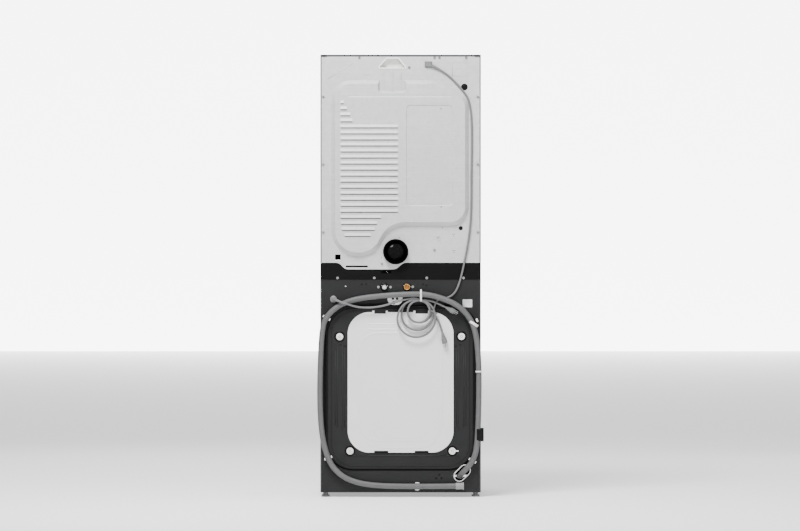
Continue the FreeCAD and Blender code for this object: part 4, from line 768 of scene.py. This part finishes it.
def hanging_turns(first_radius, turns, start, y):
    """Coil points: turns that meet under the tie and hang lower the larger they are.

    The turn starts at the given angle from the top, runs down the -X side, and its radius shrinks
    from the first one to the inner one between the turns."""
    points = []
    count = int(turns * TURN_POINTS)
    for i in range(count + 1):
        done = i / TURN_POINTS
        angle = start + 2 * math.pi * done
        blend = min(max((done - 0.7) / 0.6, 0.0), 1.0)
        blend = blend * blend * (3 - 2 * blend)
        radius = first_radius + (INNER_TURN - first_radius) * blend
        centre_x = COIL_X + (radius - INNER_TURN) * 0.28
        centre_z = TIE_TOP - TURN_STEP * blend - radius
        stray = 1.4 * math.sin(3.1 * i + first_radius)
        points.append((centre_x - (radius + stray * 0.5) * math.sin(angle), y + 0.8 * math.sin(1.7 * i),
                       centre_z + radius * math.cos(angle)))
    return points


def tapered_relief(name, points, reach, thick, thin, material):
    """A ribbed sleeve that narrows along the first stretch of a lead."""
    gap = 0.0015
    stretch = [p for i, p in enumerate(resample(points, gap)) if i * gap <= reach]
    last = len(stretch) - 1

    def radius_at(i):
        return thick + (thin - thick) * i / last - (0.0007 if i % 3 == 2 and 0 < i < last else 0.0)

    return skin_along(name, stretch, radius_at, material, segments=20)


def plug_at(name, points, size):
    """A moulded plug on the end of a line: neck, flared grip with ribs, face and three pins."""
    end = points[-1]
    way = (points[-1] - points[-3]).normalized()
    across = way.cross(Vector((0, 1, 0))).normalized()
    rise = way.cross(across)
    rings = []
    sections = [(-0.004, 0.46, 0.50, 0.22)]
    sections += [(size * share, wide, deep, corner) for share, wide, deep, corner in PLUG_SECTIONS]
    for along, wide, deep, corner in sections:
        ring = rounded_ring(PLUG_WIDTH * wide, PLUG_DEPTH * deep, PLUG_WIDTH * corner)
        rings.append([end + way * along + across * u + rise * v for u, v in ring])
    body = loft(name, rings, MATERIALS["grey_plastic"])
    shape = bmesh.new()
    for side, lift, long in ((-1, -0.0022, 0.0165), (1, -0.0022, 0.0165), (0, 0.0052, 0.0185)):
        middle = end + way * (size + long / 2 - 0.001) + across * (0.0064 * side) + rise * lift
        made = bmesh.ops.create_cube(shape, size=1.0)["verts"]
        basis = Matrix((across, rise, way)).transposed().to_4x4()
        thickness = (0.0017, 0.0062) if side else (0.0045, 0.0045)
        scale = Matrix.Diagonal((*thickness, long, 1))
        bmesh.ops.transform(shape, matrix=Matrix.Translation(middle) @ basis @ scale, verts=made)
    bmesh.ops.bevel(shape, geom=list(shape.edges), offset=0.0005, segments=2, affect="EDGES")
    pins = mesh_piece(name + "_pins", shape, MATERIALS["zinc"], smooth=False)
    return [body, pins]


def power_lead(name, route, cad_nodes, plug_size):
    """A round lead on one smooth line, with its sleeve at the exit and its plug."""
    lead = nurbs_line(name, route)
    points = line_points(lead)
    lead.data.bevel_depth = LEAD_DIAMETER / 2
    lead.data.bevel_resolution = 5
    lead.data.materials.append(MATERIALS["cord_grey"])
    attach(lead, "cabinet")
    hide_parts(*cad_nodes)
    sleeve = tapered_relief(name + "_sleeve", points, 0.036, 0.0078, 0.0049, MATERIALS["grey_plastic"])
    plug = plug_at(name + "_plug", points, plug_size)
    for piece in plug:
        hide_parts("power_plugs")


washer_ties = [bundle_tie("hose_coil_tie", -0.087, 0.3755, 0.8610, 0.0335, 0.0490, 0.0075,
                          MATERIALS["white_plastic"])]
dryer_ties = [bundle_tie("coil_side_tie", -0.1435, 0.3680, 0.7895, 0.0120, 0.0290, 0.0060,
                         MATERIALS["grey_plastic"], 62)]
WASHER_LEAD = WASHER_LEAD_ROUTE + hanging_turns(84.0, 2, 0.0, 374.2) + WASHER_PLUG_ROUTE
DRYER_LEAD = DRYER_LEAD_ROUTE + hanging_turns(69.0, 2, math.radians(80), 364.0) + DRYER_PLUG_ROUTE
power_lead("washer_lead", WASHER_LEAD, ("washer_cord", "cord_coils"), 0.036)
power_lead("dryer_lead", DRYER_LEAD, ("dryer_cord", "cord_coils"), 0.042)

corner_clips()
hole_plugs()
earth_stud()
panel_pressings()
louvre_shadow_strips()
rating_label()
inlet("cold_inlet", 0.0694, 0.8970, MATERIALS["charcoal_paint"], COLD_WHITE)
inlet("hot_inlet", -0.0269, 0.8975, MATERIALS["brass"], ORANGE)
foot_details()
field_gap_shadow_seal()
ring_pressings()
cap_surrounds()
cover_pressings()


# ---------------------------------------------------------------- front

FRONT_Y = -0.330
FASCIA_Y = -0.344
GLOW = new_material("indicator glow", (0.55, 0.75, 0.85), 0.4)[0]
light_up(GLOW, (0.55, 0.8, 1.0), 1.2)


def drawer_fascia():
    """Painted skin on the detergent drawer's front, open over its finger grip."""
    y = FRONT_Y - 0.013
    paint = MATERIALS["graphite_paint"]
    pad("drawer_fascia", -0.225, 0.8472, 0.1895, 0.0718, 0.0030, y, y - 0.0014, paint, body="drawer")
    for side in (-1, 1):
        pad("drawer_fascia_foot_%d" % (side + 1), -0.225 + side * 0.0755, 0.8040, 0.0380, 0.0145, 0.0020, y, y - 0.0014,
            paint, body="drawer")


def door_bezels():
    """Gloss black inner bezel and a bright outer bead on each door."""
    bezel = [(0.1523, -0.3613), (0.1602, -0.3824), (0.1650, -0.3850), (0.1698, -0.3866), (0.1745, -0.3864),
             (0.1752, -0.3850)]
    bead = [(0.1985, -0.3696), (0.1995, -0.3716), (0.2030, -0.3706), (0.2052, -0.3668), (0.2050, -0.3650)]
    for body, level in (("washer_door", 0.489), ("dryer_door", 1.450)):
        turned(body + "_bezel", bezel, 0.0, level, MATERIALS["black_plastic"], 96, body)
        turned(body + "_bead", bead, 0.0, level, MATERIALS["bearing_steel"], 96, body)


def fascia_marks():
    """Pips round the dials, one pip over each button, and a plain glowing bar in the window."""
    pips = []
    for centre in (-0.120, 0.120):
        for i in range(11):
            angle = math.radians(-60 + 30 * i)
            pips.append((centre + 0.0385 * math.cos(angle), 0.956 + 0.0385 * math.sin(angle), 0.0013, -0.0004))
    pips += [(x, 0.9760, 0.0012, -0.0004) for x in (-0.268, -0.200, 0.200)]
    dots("fascia_pips", pips, FASCIA_Y - 0.0001, MATERIALS["silver_plastic"])
    for i in range(8):
        pad("window_bar_%d" % i, -0.035 + 0.010 * i, 0.950, 0.0074, 0.0050, 0.0010,
            FASCIA_Y - 0.0003, FASCIA_Y - 0.0007, GLOW)
    dots("window_pips", [(x, 0.966, 0.0016, -0.0003) for x in (-0.030, -0.010, 0.010, 0.030)],
         FASCIA_Y - 0.0003, GLOW)


def front_trims():
    """The finger notch of the filter flap."""
    pad("flap_notch", 0.225, 0.1870, 0.0340, 0.0070, 0.0030, FRONT_Y - 0.0008, FRONT_Y - 0.0016, BLACK_FITTINGS_AND_SHADE,
        body="pump_flap")


def base_pan():
    """Dark pan over the base frame, so the floor isn't seen through the pump opening."""
    rings = [[(x * 0.331, -0.304 if y < 0 else 0.334, z) for x, y in ((-1, -1), (1, -1), (1, 1), (-1, 1))]
             for z in (0.0537, 0.0547)]
    loft("base_pan", rings, MATERIALS["black_paint"], smooth=False)


drawer_fascia()
door_bezels()
fascia_marks()
front_trims()
base_pan()
